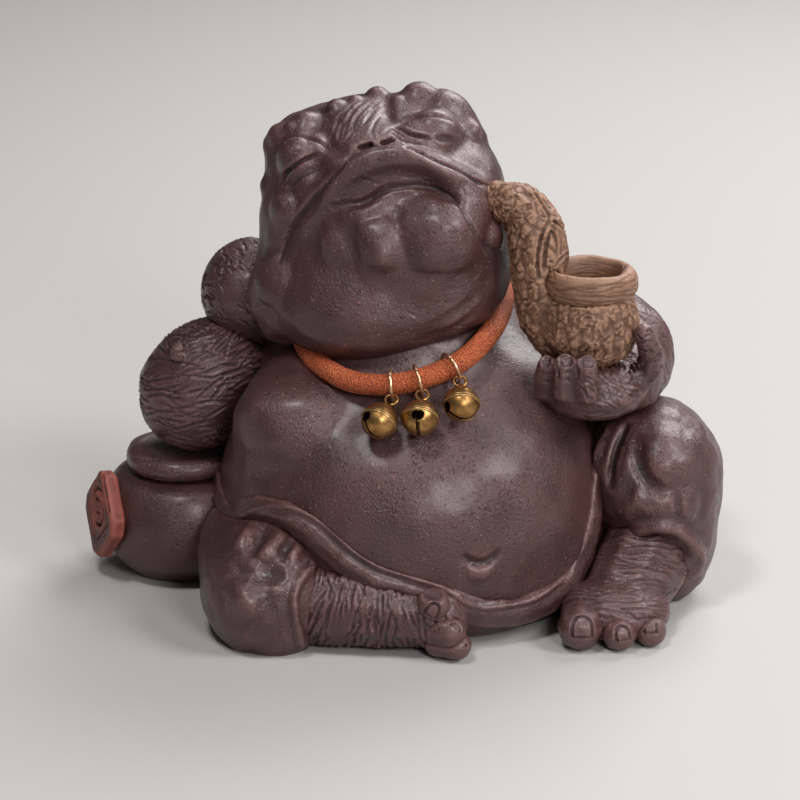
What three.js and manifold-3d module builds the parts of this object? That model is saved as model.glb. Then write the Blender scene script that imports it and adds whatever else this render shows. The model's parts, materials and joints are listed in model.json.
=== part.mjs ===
// Money toad tea pet: a fired clay toad that lounges with a tobacco pipe in one hand and its other
// arm on a wine jar, and wears a leather cord with three brass bells.
// Millimetres, +Z up. The toad faces -Y, so its own left is at +X. The origin is on the table under
// the middle of the figure.
import * as THREE from "three";
import { mergeVertices } from "three/addons/utils/BufferGeometryUtils.js";
import Module from "manifold-3d";

const wasm = await Module();
wasm.setup();

// Fits.
const luteGap = 0.3; // between two pieces of clay that are luted together
const seatGap = 0.35; // round the collar cord in its crease
const seamGap = 0.1; // between the two stamped shells of a bell
const ringPlay = 0.25; // between a jump ring and what hangs on it, or what it hangs on

// A block that stands for the table that the clay is pressed flat on, wider than any part of it.
const tableSide = 400;

// How often the faces of a ball are divided, and how many sides a round hole has.
const fineSteps = 5;
const plainSteps = 3;
const coarseSteps = 2;
const holeSides = 8;

// Body of the toad: each lump is a ball of clay with its middle and its three radii.
const belly = { at: [1, -9, 21], radii: [36.5, 35, 26.6] };
const chest = { at: [0, 3, 41], radii: [28, 25, 17] };
const hump = { at: [0, 12, 33], radii: [31, 26, 27] };
const rightBreast = { at: [-22, -20, 38], radii: [10.5, 11, 8.5] };
const leftBreast = { at: [21, -14, 39.5], radii: [11, 11, 9] };
const seat = { at: [2, -7, 7], radii: [38, 35, 13] };
const hips = { at: [2, 10, 13], radii: [41, 29, 18] };
const neck = { at: [-1, -6.5, 48], radii: [18, 18, 12] };

// Head, leaning back with its chin up.
const skull = { at: [-4, 3, 71], radii: [22, 23, 19] };
const crown = { at: [-6, 4, 83], radii: [18, 15, 9.3] };
const throat = { at: [-6, -8, 59.4], radii: [19.5, 19, 14.5] };
const throatSide = { at: [6.5, -7, 65.5], radii: [13, 16, 11.5] };
const rightThroatRoll = { at: [-8, -16, 57.2], radii: [14.5, 11, 8] };
const leftThroatRoll = { at: [5, -15.5, 61], radii: [12, 10.5, 8] };
const rightChin = { at: [-6.2, -16.3, 73.6], radii: [8.6, 8.6, 9] };
const leftChin = { at: [6, -16.3, 75], radii: [9, 8.8, 9] };
const rightCheek = { at: [-22, -8, 58], radii: [8, 9, 10] };
const leftCheek = { at: [12, -7, 70], radii: [7.8, 9, 9] };
const snout = { at: [-5, -9, 85], radii: [12, 8, 5.5] };
const rightJaw = { at: [-18.5, -5, 72], radii: [9, 10, 11] };
const leftJaw = { at: [7, -3, 79], radii: [10, 10, 7.5] };
const rightBrow = { at: [-20, 1, 83], radii: [6.8, 8, 6.8] };
const leftBrow = { at: [4.5, 4, 88], radii: [8, 7, 5] };

// Things laid on the head.
const lipRadius = 4.4;
const rightEye = { at: [-18.8, -6.5, 82.4], radii: [5.6, 4.6, 4.2] };
const leftEye = { at: [4.4, -5, 87.6], radii: [5.6, 4.6, 3.8] };
const headWarts = [
  [-13.7, 1, 90.6, 1.9], [-6.1, 5, 92, 1.9], [2.2, 4, 91.6, 2.8], [7.6, 3, 89.3, 3.2], [12, 1, 85, 2.2],
  [-19.5, 0, 87.6, 2.9], [-24.6, 0, 84.4, 2.6], [-15.6, -3, 88.2, 2], [-25.6, -3, 77.5, 2.3],
  [-23, -9.5, 74.6, 2.4],
];

// Wine jar under the right arm.
const jarPlace = [-43.4, 0];
const jarFootRadius = 11;
const jarBellyRadius = 16.2;
const jarBellyHeight = 11.5;
const jarNeckRadius = 9.6;
const jarNeckHeight = 20;
const jarRimRadius = 8.6; // to the middle of the rolled rim
const jarRimWidth = 5.2;
const jarRimHeight = 4.7;
const labelSide = 14;
const labelThickness = 2.4;
const labelCorner = 2.2; // cut off each corner of the square label
const labelSink = 1.2; // of the flat label into the round jar
const labelBearing = -68; // from the front of the jar round to its right
const labelTilt = 6;
const jarTop = jarNeckHeight + jarRimHeight;

// Tobacco pipe.
const bowlPlace = [33.2, -22, 49.4];
const bowlRadius = 9.3;
const bowlHeight = 13;
const bowlBore = 5.1;
const bowlDepth = 8;
const bowlRimRadius = 7; // to the middle of the rolled rim
const bowlRimWidth = 3.3;
const bowlRimHeight = 5.1;
const stemRadius = 5.5;
const bowlFront = bowlPlace[1] - bowlRadius;
const bowlSide = bowlPlace[0] + bowlRadius;

// Arms. The right one leans on the jar and the left one holds the pipe.
const rightShoulder = { at: [-30.2, 5, 54.4], radii: [9.2, 11, 9.6] };
const rightShoulderRoot = { at: [-23, 10, 50], radii: [10, 13, 10] };
const rightElbow = { at: [jarPlace[0] + 2.8, 0, jarTop + 10.7], radii: [10.9, 12, 10.8] };
const rightElbowFold = { at: [jarPlace[0] + 7.4, 1, jarTop + 16.7], radii: [9.5, 10.5, 8.2] };
const armWart = [jarPlace[0], -6, jarTop + 20.9, 1.5];
const leftShoulder = { at: [27, 8, 49.5], radii: [12, 12, 11] };
const leftElbow = { at: [40, 1, 43], radii: [10.4, 11, 11] };
const leftWrist = { at: [39.5, -12, 43], radii: [8.4, 11, 7] };
const palm = { at: [34.3, -24, 45], radii: [10, 9.4, 5.2] };
const fingerRadius = 1.9;
const thumbRadius = 2.1;

// Legs, in loose trousers. The right one is folded flat and the left one has its knee up.
const rightKnee = { at: [-25.4, -34.4, 8.6], radii: [12.5, 13.6, 12.8] };
const rightThigh = { at: [-29, -18, 10], radii: [10.5, 14, 11] };
const leftKnee = { at: [46, -13, 25], radii: [12.9, 14.5, 13] };
const leftThigh = { at: [40, 4, 19], radii: [12, 18, 16] };
const leftHem = { at: [49.5, -13, 11], radii: [8.6, 12.5, 13] };
const shinRadius = 8.2;
const ankleRadius = 6.3;
const leftFoot = { at: [38.5, -33.5, 4.6], radii: [10.5, 8, 5.6] };
const bigToeRadius = 4;
const toeRadius = 3.1;
const smallToeRadius = 2.7;

// Waistband of the trousers: how high it runs at each bearing, from the front round by the left hip.
const bandBearings = [0, 11, 20, 32, 48, 56, 61, 66, 80, 120, 180, 230, 270, 298, 307, 317, 328, 336,
  344, 352, 360];
const bandHeights = [12.8, 9.6, 6.8, 6, 8.6, 12.5, 18.5, 26, 31, 31, 29, 26, 20, 17.8, 22, 24.4, 24.5, 21,
  16.7, 14.2, 12.8];
const bandWidth = 6;
const bandThickness = 3.2;
const bandSteps = 38;
const bandRouteSteps = 120;

// Collar.
const cordRadius = 2.05;
const cordRoute = [
  [0.6, 13, 58.4], [-12, 9, 56.5], [-19, -2, 53], [-20, -10, 50.8], [-18.1, -17.5, 48.9], [-15.4, -23, 48.4],
  [-10.8, -27.6, 47.6], [-6.1, -29.7, 47.6], [-1.7, -30.2, 48], [2.8, -29.7, 48.9], [7.4, -28.2, 50.3],
  [11.2, -25.4, 51.9], [14.3, -21, 53.7], [16.5, -15.5, 55.1], [17.8, -8.5, 56.9], [17.6, -1, 58.2],
  [12.5, 9, 59], [1.8, 13, 58.5],
];
const bellSpots = [-3, 1.7, 7.6]; // how far across the toad each bell is threaded on the cord
const ringRadius = 2.95; // to the middle of the wire
const ringWire = 0.32; // radius of the wire
const ringSplit = 0.2;
const bellRadius = 3.4;
const bellWall = 0.4;
const bellFlange = 0.16;
const loopRadius = 1.15;
const loopWire = 0.28;
const peaRadius = 1.3;
const slotWidth = 0.7;
const slotHoleRadius = 0.95;
const slotHoleAngle = 50; // of the round ends of the slot, up from the foot of the bell
const bellLift = [58, 58, 60]; // how far above straight down each bell lies, on the belly
const bellSway = [26, 20, 31]; // how far each bell leans along the cord, to its lower end
const bellTurn = [-55, 0, -60]; // how far each slot is turned from the front

// Materials.
const clayFinish = new THREE.MeshStandardMaterial({ color: 0x5d4846, roughness: 0.45, metalness: 0 });
const redClayFinish = new THREE.MeshStandardMaterial({ color: 0x8f4a3f, roughness: 0.6, metalness: 0 });
const tanClayFinish = new THREE.MeshStandardMaterial({ color: 0xa27d66, roughness: 0.75, metalness: 0 });
const leatherFinish = new THREE.MeshStandardMaterial({ color: 0xa9572f, roughness: 0.8, metalness: 0 });
const brassFinish = new THREE.MeshStandardMaterial({ color: 0xb98d46, roughness: 0.35, metalness: 1 });
const goldFinish = new THREE.MeshStandardMaterial({ color: 0xd9b48a, roughness: 0.25, metalness: 1 });

const radians = THREE.MathUtils.degToRad;
const point = (list) => new THREE.Vector3(...list);

// Solids.

function solidFrom(geometry) {
  const loose = new THREE.BufferGeometry().setAttribute("position", geometry.getAttribute("position"));
  if (geometry.index) loose.setIndex(geometry.index);
  const merged = mergeVertices(loose, 1e-4);
  const corners = merged.index.array;
  const kept = [];
  for (let i = 0; i < corners.length; i += 3) {
    const [a, b, c] = [corners[i], corners[i + 1], corners[i + 2]];
    if (a !== b && b !== c && c !== a) kept.push(a, b, c);
  }
  return new wasm.Manifold(new wasm.Mesh({
    numProp: 3,
    vertProperties: new Float32Array(merged.getAttribute("position").array),
    triVerts: new Uint32Array(kept),
  }));
}

function geometryFrom(solid) {
  const mesh = solid.getMesh();
  return new THREE.BufferGeometry()
    .setAttribute("position", new THREE.BufferAttribute(mesh.vertProperties, 3))
    .setIndex(new THREE.BufferAttribute(mesh.triVerts, 1));
}

// Cuts away what the neighbours fill, and drops any crumb that the cut leaves.
function trimmed(solid, neighbours) {
  const cut = neighbours.reduce((rest, neighbour) => rest.subtract(neighbour), solid);
  return cut.decompose().sort((a, b) => b.volume() - a.volume())[0];
}

// Everything below the table is sliced off flat.
const table = solidFrom(new THREE.BoxGeometry(tableSide, tableSide, tableSide)
  .translate(0, 0, -tableSide / 2));

// Clay lumps: balls pressed together, with one skin over them all.

function ballDepth(ball, place) {
  const offset = [0, 1, 2].map((i) => place.getComponent(i) - ball.at[i]);
  const inUnits = Math.hypot(...offset.map((d, i) => d / ball.radii[i]));
  const slope = Math.hypot(...offset.map((d, i) => d / ball.radii[i] ** 2));
  return slope === 0 ? -Math.min(...ball.radii) : (inUnits * (inUnits - 1)) / slope;
}

function skinDistance(lump, place) {
  const sum = lump.balls.reduce((total, ball) => total + Math.exp(-ballDepth(ball, place) / lump.blend), 0);
  return -lump.blend * Math.log(sum);
}

const farOutside = 90;
const skinTolerance = 0.004;
const stride = 0.75; // share of the distance left that each step takes, so that none goes through the skin

// Where a ray from inside a lump comes out through its skin.
function skinPoint(lump, start, ray, grow = 0) {
  let reach = farOutside;
  const place = new THREE.Vector3();
  for (let step = 0; step < 80; step++) {
    const left = skinDistance(lump, place.copy(start).addScaledVector(ray, reach)) - grow;
    if (left < skinTolerance) break;
    reach -= left * stride;
  }
  return place.copy(start).addScaledVector(ray, reach);
}

// A geodesic ball whose points are pulled in, each along its own ray, until they lie on the skin.
function lumpSolid(lump, grow = 0) {
  const heart = point(lump.heart ?? lump.balls[0].at);
  const ball = new THREE.BufferGeometry().setAttribute(
    "position", new THREE.IcosahedronGeometry(1, lump.detail).getAttribute("position"));
  const geometry = mergeVertices(ball, 1e-4);
  const spots = geometry.getAttribute("position");
  for (let i = 0; i < spots.count; i++) {
    const ray = new THREE.Vector3().fromBufferAttribute(spots, i).normalize();
    spots.setXYZ(i, ...skinPoint(lump, heart, ray, grow).toArray());
  }
  return solidFrom(geometry);
}

// Rolled coils of clay: rings of points along a curve, thick and thin as told, with domed ends.

function radiusAt(radii, share) {
  const spot = share * (radii.length - 1);
  const low = Math.min(Math.floor(spot), radii.length - 2);
  return THREE.MathUtils.lerp(radii[low], radii[low + 1], spot - low);
}

function coilSolid({ through, radii, sides = 8, steps = 8 }, grow = 0) {
  const curve = new THREE.CatmullRomCurve3(through.map(point));
  const frames = curve.computeFrenetFrames(steps, false);
  const domeAngles = [60, 30];
  const rings = [];
  const dome = (step, sense) => domeAngles.map((angle) => ({
    middle: curve.getPointAt(step / steps).addScaledVector(
      frames.tangents[step], sense * (radiusAt(radii, step / steps) + grow) * Math.sin(radians(angle))),
    step,
    radius: (radiusAt(radii, step / steps) + grow) * Math.cos(radians(angle)),
  }));
  rings.push(...dome(0, -1));
  for (let step = 0; step <= steps; step++) {
    const share = step / steps;
    rings.push({ middle: curve.getPointAt(share), step, radius: radiusAt(radii, share) + grow });
  }
  rings.push(...dome(steps, 1).reverse());
  const tip = (step, sense) => curve.getPointAt(step / steps)
    .addScaledVector(frames.tangents[step], sense * (radiusAt(radii, step / steps) + grow));
  return tubeSolid(rings.map((ring) => ringPoints(
    ring.middle, frames.normals[ring.step], frames.binormals[ring.step], ring.radius, ring.radius, sides)),
  tip(0, -1), tip(steps, 1));
}

function ringPoints(middle, across, along, halfAcross, halfAlong, sides) {
  return Array.from({ length: sides }, (_, side) => {
    const turn = (2 * Math.PI * side) / sides;
    return middle.clone()
      .addScaledVector(across, halfAcross * Math.cos(turn))
      .addScaledVector(along, halfAlong * Math.sin(turn));
  });
}

// Joins rings of points into one closed tube: to two tips, or to itself where no tips are given.
function tubeSolid(rings, startTip, endTip) {
  const sides = rings[0].length;
  const spots = rings.flat();
  const faces = [];
  const last = rings.length - 1;
  for (let ring = 0; ring <= (startTip ? last - 1 : last); ring++) {
    const next = (ring + 1) % rings.length;
    for (let side = 0; side < sides; side++) {
      const beside = (side + 1) % sides;
      const [a, b] = [ring * sides + side, ring * sides + beside];
      const [c, d] = [next * sides + side, next * sides + beside];
      faces.push(a, b, d, a, d, c);
    }
  }
  if (startTip) {
    const start = spots.push(startTip) - 1;
    const end = spots.push(endTip) - 1;
    for (let side = 0; side < sides; side++) {
      const beside = (side + 1) % sides;
      faces.push(start, beside, side, end, last * sides + side, last * sides + beside);
    }
  }
  const tube = solidFrom(new THREE.BufferGeometry().setFromPoints(spots).setIndex(faces));
  return tube.volume() < 0 ? solidFrom(new THREE.BufferGeometry().setFromPoints(spots)
    .setIndex(faces.reverse())) : tube;
}

// A profile turned about the Z axis, given as [radius, height] pairs.
function turnedGeometry(profile, segments) {
  return new THREE.LatheGeometry(profile.map(([r, z]) => new THREE.Vector2(r, z)), segments)
    .rotateX(Math.PI / 2);
}

function turnedSolid(profile, segments, place = [0, 0, 0]) {
  const solid = solidFrom(turnedGeometry(profile, segments));
  const upright = solid.volume() < 0 ? solidFrom(turnedGeometry([...profile].reverse(), segments)) : solid;
  return upright.translate(place);
}

function ringProfile(middleRadius, height, halfWidth, halfHeight) {
  const points = 6;
  return Array.from({ length: points + 1 }, (_, i) => {
    const turn = (2 * Math.PI * (i % points)) / points;
    return [middleRadius + halfWidth * Math.cos(turn), height + halfHeight * Math.sin(turn)];
  });
}

// The pieces that the toad is luted together from.

const torsoLump = { balls: [belly, chest, hump, rightBreast, leftBreast, seat, hips, neck], blend: 2.4,
  heart: [0, 0, 26], detail: fineSteps };
const headLump = { balls: [skull, crown, throat, throatSide, rightThroatRoll, leftThroatRoll, rightChin,
  leftChin, rightCheek, leftCheek, snout, rightJaw, leftJaw, rightBrow, leftBrow], blend: 1.3,
heart: [-3, -3, 68], detail: fineSteps };
const rightUpperArmLump = { balls: [rightShoulder, rightShoulderRoot], blend: 2, detail: plainSteps };
const rightForearmLump = { balls: [rightElbow, rightElbowFold], blend: 2, detail: plainSteps };
const leftArmLump = { balls: [leftShoulder, leftElbow, leftWrist], blend: 3, heart: [36, 1, 45],
  detail: plainSteps };
const palmLump = { balls: [palm], blend: 1, detail: coarseSteps };
const rightTrouserLump = { balls: [rightKnee, rightThigh], blend: 3, heart: [-26, -28, 10],
  detail: plainSteps };
const leftTrouserLump = { balls: [leftKnee, leftThigh, leftHem], blend: 3, heart: [46, -9, 20],
  detail: plainSteps };
const leftFootLump = { balls: [leftFoot], blend: 1, detail: coarseSteps };

const onHead = (ball) => ({ balls: [ball], blend: 1, detail: coarseSteps });

// Lower lip, a coil that runs from one corner of the mouth over the chin to the other.
const lipCoil = { through: [
  [-22.7, -12, 65.2], [-20.2, -13.6, 71.8], [-15.9, -15, 77], [-11.6, -16.6, 81], [-6.1, -18, 84],
  [-0.7, -18, 84.8], [5.7, -16.8, 82.8], [11.3, -14, 78.8], [15.2, -11, 73.7]],
radii: [lipRadius * 0.3, lipRadius * 0.5, lipRadius * 0.75, lipRadius * 0.95, lipRadius, lipRadius,
  lipRadius, lipRadius * 0.95, lipRadius * 0.8],
steps: 14, sides: 8 };

const rightShin = { through: [[-17, -37, 8], [-4, -39.6, 8], [5, -41, 7.2]],
  radii: [shinRadius, shinRadius * 0.94, ankleRadius], steps: 6, sides: 10 };
const leftShin = { through: [[46.4, -15, 12.6], [43.6, -23, 8.6], [40, -30, 5.4]],
  radii: [shinRadius * 1.05, shinRadius * 1.05, shinRadius * 0.92], steps: 4, sides: 10 };

const rightToes = [
  { through: [[2.6, -43, 9.6], [4.4, -45, 10.4]], radii: [bigToeRadius * 0.85, bigToeRadius * 0.8] },
  { through: [[4.6, -44.6, 5.8], [7.4, -46.4, 5.8]], radii: [toeRadius, toeRadius * 0.9] },
  { through: [[5.4, -44.6, 3.1], [8.8, -46.4, 3]], radii: [smallToeRadius, smallToeRadius * 0.9] },
];
const leftToes = [
  { through: [[32.5, -36.5, 4], [31.6, -40.6, 4]], radii: [bigToeRadius, bigToeRadius] },
  { through: [[39, -36.5, 3.3], [38.8, -41, 3.1]], radii: [toeRadius, toeRadius] },
  { through: [[44.4, -35, 3], [44.7, -39.4, 2.8]], radii: [smallToeRadius, smallToeRadius] },
];
const fingers = [
  { through: [[27, -24, 43.6], [24.8, bowlFront + 3.3, 46.6], [25.2, bowlFront + 2.3, 51]] },
  { through: [[30, -27, 43], [28.3, bowlFront + 0.3, 46.4], [28.4, bowlFront - 0.1, 52.2]] },
  { through: [[34, -28, 43], [32.6, bowlFront - 1.1, 46.4], [32.4, bowlFront - 1.3, 52.3]] },
];
const thumb = { through: [[41.6, -22.5, 45], [bowlSide + 2.1, -25.4, 50.6], [bowlSide + 0.4, -28, 57]],
  radii: [thumbRadius * 1.4, thumbRadius * 1.1, thumbRadius * 0.8], steps: 5 };

const pipeStem = { through: [
  [14.6, -12.5, 76.6], [18.2, -14.8, 78], [22, -16.6, 75.6], [23.8, -18.4, 70], [24.4, -20, 63.5],
  [25.6, -21, 57], [29, -21.6, 53.4]],
radii: [stemRadius * 0.6, stemRadius * 0.8, stemRadius * 0.96, stemRadius, stemRadius * 0.95,
  stemRadius * 0.9, stemRadius * 0.9],
steps: 12, sides: 10 };

function bandHeight(bearing) {
  const next = bandBearings.findIndex((known) => known > bearing);
  const [from, to] = [bandBearings[next - 1], bandBearings[next]];
  return THREE.MathUtils.lerp(bandHeights[next - 1], bandHeights[next], (bearing - from) / (to - from));
}

// The waistband is a flat strip that runs round the belly and stands proud of it.
function waistbandSolid(grow = 0) {
  const bearings = Array.from({ length: bandRouteSteps }, (_, i) => (360 * i) / bandRouteSteps);
  const waist = point([belly.at[0], belly.at[1] / 2, 0]);
  const route = new THREE.CatmullRomCurve3(
    bearings.map((bearing) => skinPoint(torsoLump, waist.clone().setZ(bandHeight(bearing)),
      point([Math.sin(radians(bearing)), -Math.cos(radians(bearing)), 0]))), true);
  const rings = [];
  for (let step = 0; step < bandSteps; step++) {
    const middle = route.getPointAt(step / bandSteps);
    const along = route.getTangentAt(step / bandSteps);
    const outward = middle.clone().sub(waist).setZ(0).normalize();
    const across = outward.clone().cross(along).normalize();
    rings.push(ringPoints(middle, outward, across, bandThickness / 2 + grow, bandWidth / 2 + grow, 6));
  }
  return tubeSolid(rings);
}

function jarSolid(grow = 0) {
  const profile = [
    [0, -grow], [jarFootRadius + grow, -grow], [jarBellyRadius * 0.93 + grow, jarBellyHeight * 0.42],
    [jarBellyRadius + grow, jarBellyHeight], [jarBellyRadius * 0.95 + grow, jarBellyHeight * 1.35],
    [jarBellyRadius * 0.82 + grow, jarBellyHeight * 1.66], [jarNeckRadius + grow, jarNeckHeight + grow],
    [0, jarNeckHeight + grow],
  ];
  return turnedSolid(profile, 20, [...jarPlace, 0]);
}

// The rolled rim sits on the neck, and clay closes the mouth inside it.
function jarRimSolid(grow = 0) {
  const middle = jarNeckHeight + luteGap + jarRimHeight / 2;
  const roll = [-60, -30, 0, 30, 60].map((turn) => [
    jarRimRadius + (jarRimWidth / 2 + grow) * Math.cos(radians(turn)),
    middle + (jarRimHeight / 2 + grow) * Math.sin(radians(turn))]);
  const foot = [jarRimRadius, middle - jarRimHeight / 2 - grow];
  const top = [jarRimRadius, middle + jarRimHeight / 2 + grow];
  return turnedSolid([[0, foot[1]], foot, ...roll, top, [0, top[1]]], 20, [...jarPlace, 0]);
}

// The label is a square tablet set on its corner, with its corners cut off and its front edge bevelled.
function labelSolid() {
  const half = labelSide / 2;
  const outline = new THREE.Shape();
  const corners = [[1, 1], [-1, 1], [-1, -1], [1, -1]];
  corners.forEach(([x, y], i) => {
    const turned = i % 2 === 1;
    const first = turned ? [x * (half - labelCorner), y * half] : [x * half, y * (half - labelCorner)];
    const second = turned ? [x * half, y * (half - labelCorner)] : [x * (half - labelCorner), y * half];
    if (i === 0) outline.moveTo(...first);
    else outline.lineTo(...first);
    outline.lineTo(...second);
  });
  outline.closePath();
  const bevel = 0.5;
  const tablet = new THREE.ExtrudeGeometry(outline, {
    depth: labelThickness - bevel, bevelEnabled: true, bevelThickness: bevel, bevelSize: bevel,
    bevelOffset: -bevel, bevelSegments: 1,
  });
  tablet.rotateZ(Math.PI / 4).rotateX(Math.PI / 2 - radians(labelTilt));
  tablet.translate(0, -(jarBellyRadius + luteGap - labelSink), jarBellyHeight + 1);
  tablet.rotateZ(radians(labelBearing)).translate(...jarPlace, 0);
  return solidFrom(tablet);
}

function bowlSolid(grow = 0) {
  const foot = bowlHeight * 0.12;
  return turnedSolid([
    [0, -grow], [bowlRadius * 0.5 + grow, -grow], [bowlRadius * 0.84 + grow, foot * 1.6],
    [bowlRadius + grow, bowlHeight * 0.48], [bowlRadius * 0.95 + grow, bowlHeight * 0.78],
    [bowlRadius * 0.84 + grow, bowlHeight + grow], [0, bowlHeight + grow],
  ], 18, bowlPlace);
}

function bowlRimSolid(grow = 0) {
  const middle = bowlHeight + luteGap + bowlRimHeight / 2;
  return turnedSolid(
    ringProfile(bowlRimRadius, middle, bowlRimWidth / 2 + grow, bowlRimHeight / 2 + grow), 18, bowlPlace);
}

// The collar cord lies in the crease under the chin, and its two ends meet in a hollow behind the neck.
const cordCurve = new THREE.CatmullRomCurve3(cordRoute.map(point));
const cordSteps = 28;
const cordHollow = 3.6;

function cordGeometry(grow = 0) {
  const section = new THREE.Shape().absarc(0, 0, cordRadius + grow, 0, 2 * Math.PI);
  return new THREE.ExtrudeGeometry(section, { steps: cordSteps, curveSegments: 4, bevelEnabled: false,
    extrudePath: cordCurve });
}

// Assembly.

const toad = new THREE.Group();

// Puts a piece into a group, with the mesh's own origin at the given place.
function add(group, name, solidOrGeometry, material, place = [0, 0, 0]) {
  const geometry = solidOrGeometry.isBufferGeometry ? solidOrGeometry : geometryFrom(solidOrGeometry);
  const mesh = new THREE.Mesh(geometry.translate(-place[0], -place[1], -place[2]), material);
  mesh.name = name;
  mesh.position.set(...place);
  group.add(mesh);
}

// What each piece leaves room for in its neighbours.
const grown = {
  cord: solidFrom(cordGeometry(seatGap)).add(solidFrom(new THREE.IcosahedronGeometry(cordHollow)
    .translate(...cordRoute[0]))),
  torso: lumpSolid(torsoLump, luteGap),
  head: lumpSolid(headLump, luteGap),
  jar: jarSolid(luteGap),
  jarRim: jarRimSolid(luteGap),
  bowl: bowlSolid(luteGap),
  stem: coilSolid(pipeStem, luteGap),
  waistband: waistbandSolid(luteGap),
  leftTrouser: lumpSolid(leftTrouserLump, luteGap),
  rightForearm: lumpSolid(rightForearmLump, luteGap),
  leftArm: lumpSolid(leftArmLump, luteGap),
  palm: lumpSolid(palmLump, luteGap),
  rightShin: coilSolid(rightShin, luteGap),
  leftShin: coilSolid(leftShin, luteGap),
  leftFoot: lumpSolid(leftFootLump, luteGap),
};

const figure = new THREE.Group();
toad.add(figure);

function addClay(name, solid, neighbours, place) {
  add(figure, name, trimmed(solid, neighbours), clayFinish, place);
}

function wart([x, y, z, radius]) {
  return solidFrom(new THREE.IcosahedronGeometry(radius, 1).translate(x, y, z));
}

addClay("torso", lumpSolid(torsoLump), [table, grown.cord], belly.at);
addClay("trouser_waistband", waistbandSolid(), [table, grown.torso], belly.at);

const wartyHead = headWarts.reduce((head, spot) => head.add(wart(spot)), lumpSolid(headLump));
addClay("head", wartyHead, [grown.torso, grown.cord], skull.at);
addClay("lower_lip", coilSolid(lipCoil), [grown.head, grown.stem, grown.torso], leftChin.at);
addClay("right_eyelid", lumpSolid(onHead(rightEye)), [grown.head], rightEye.at);
addClay("left_eyelid", lumpSolid(onHead(leftEye)), [grown.head], leftEye.at);

addClay("right_upper_arm", lumpSolid(rightUpperArmLump),
  [grown.torso, grown.head, grown.rightForearm, grown.cord], rightShoulder.at);
addClay("right_forearm", lumpSolid(rightForearmLump).add(wart(armWart)),
  [grown.torso, grown.jarRim, grown.jar, grown.waistband], rightElbow.at);
addClay("left_arm", lumpSolid(leftArmLump),
  [grown.torso, grown.head, grown.cord, grown.leftTrouser, grown.bowl, grown.palm, grown.waistband],
  leftElbow.at);

addClay("left_palm", lumpSolid(palmLump), [grown.torso, grown.bowl, grown.stem, grown.waistband,
  grown.leftTrouser], palm.at);
const fingerCoil = (finger) => ({ ...finger, steps: 4,
  radii: [fingerRadius * 1.1, fingerRadius * 1.05, fingerRadius * 0.9] });
fingers.forEach((finger, i) => {
  const beside = fingers.slice(0, i).map((other) => coilSolid(fingerCoil(other), luteGap));
  addClay(`left_finger_${i + 1}`, coilSolid(fingerCoil(finger)),
    [grown.bowl, grown.stem, grown.torso, grown.palm, ...beside], finger.through[1]);
});
addClay("left_thumb", coilSolid(thumb), [grown.bowl, grown.leftArm, grown.palm], thumb.through[1]);

addClay("right_trouser_leg", lumpSolid(rightTrouserLump),
  [table, grown.torso, grown.jar, grown.rightShin, grown.waistband], rightKnee.at);
addClay("left_trouser_leg", lumpSolid(leftTrouserLump),
  [table, grown.torso, grown.leftShin, grown.leftFoot, grown.waistband], leftKnee.at);
addClay("right_shin", coilSolid(rightShin), [table, grown.torso, grown.waistband], rightShin.through[0]);
addClay("left_shin", coilSolid(leftShin), [table, grown.torso, grown.waistband, grown.leftFoot],
  leftShin.through[0]);
addClay("left_foot", lumpSolid(leftFootLump), [table, grown.torso, grown.waistband], leftFoot.at);

function addToes(side, toes, against) {
  toes.forEach((toe, i) => {
    const beside = toes.slice(0, i).map((other) => coilSolid({ ...other, steps: 2 }, luteGap));
    addClay(`${side}_toe_${i + 1}`, coilSolid({ ...toe, steps: 2 }), [table, ...against, ...beside],
      toe.through[0]);
  });
}
addToes("right", rightToes, [grown.rightShin, grown.torso, grown.waistband]);
addToes("left", leftToes, [grown.leftFoot, grown.torso, grown.waistband]);

// Wine jar.
const wineJar = new THREE.Group();
toad.add(wineJar);
add(wineJar, "wine_jar", trimmed(jarSolid(), [grown.torso, grown.waistband]), clayFinish, [...jarPlace, 0]);
add(wineJar, "jar_rim", trimmed(jarRimSolid(), [grown.torso, grown.waistband]), clayFinish, [...jarPlace, 0]);
add(wineJar, "jar_label", trimmed(labelSolid(), [table, grown.jar]), redClayFinish);

// Pipe. The bore goes through the bowl only, and the rim sits on its edge.
const pipe = new THREE.Group();
toad.add(pipe);
const boreSolid = turnedSolid([
  [0, bowlHeight - bowlDepth], [bowlBore * 0.6, bowlHeight - bowlDepth],
  [bowlBore, bowlHeight - bowlDepth * 0.7], [bowlBore, 2 * bowlHeight], [0, 2 * bowlHeight],
], 18, bowlPlace);
add(pipe, "pipe", trimmed(coilSolid(pipeStem).add(bowlSolid()),
  [boreSolid, bowlRimSolid(luteGap), grown.torso, grown.head]), tanClayFinish, bowlPlace);
add(pipe, "pipe_rim", bowlRimSolid(), tanClayFinish, bowlPlace);

// Collar.
const collar = new THREE.Group();
toad.add(collar);
add(collar, "collar_cord", cordGeometry(), leatherFinish);

// Each bell has two stamped shells round a loose pea. Its loop is riveted through the crown.
const insideRadius = bellRadius - bellWall;
const bellSides = 12;
const crownAngle = 80; // up to the edge of the rivet's hole
const crownTop = bellRadius * Math.sin(radians(crownAngle));
const arc = (radius, from, to, steps) => Array.from({ length: steps + 1 }, (_, i) => {
  const turn = radians(from + ((to - from) * i) / steps);
  return [radius * Math.cos(turn), radius * Math.sin(turn)];
});

function bellCapSolid() {
  const inner = arc(insideRadius, 0, crownAngle, 3);
  return turnedSolid([...inner, ...arc(bellRadius, crownAngle, 8, 3),
    [bellRadius + bellFlange, 2 * bellFlange], [bellRadius + bellFlange, 0], inner[0]], bellSides);
}

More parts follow.
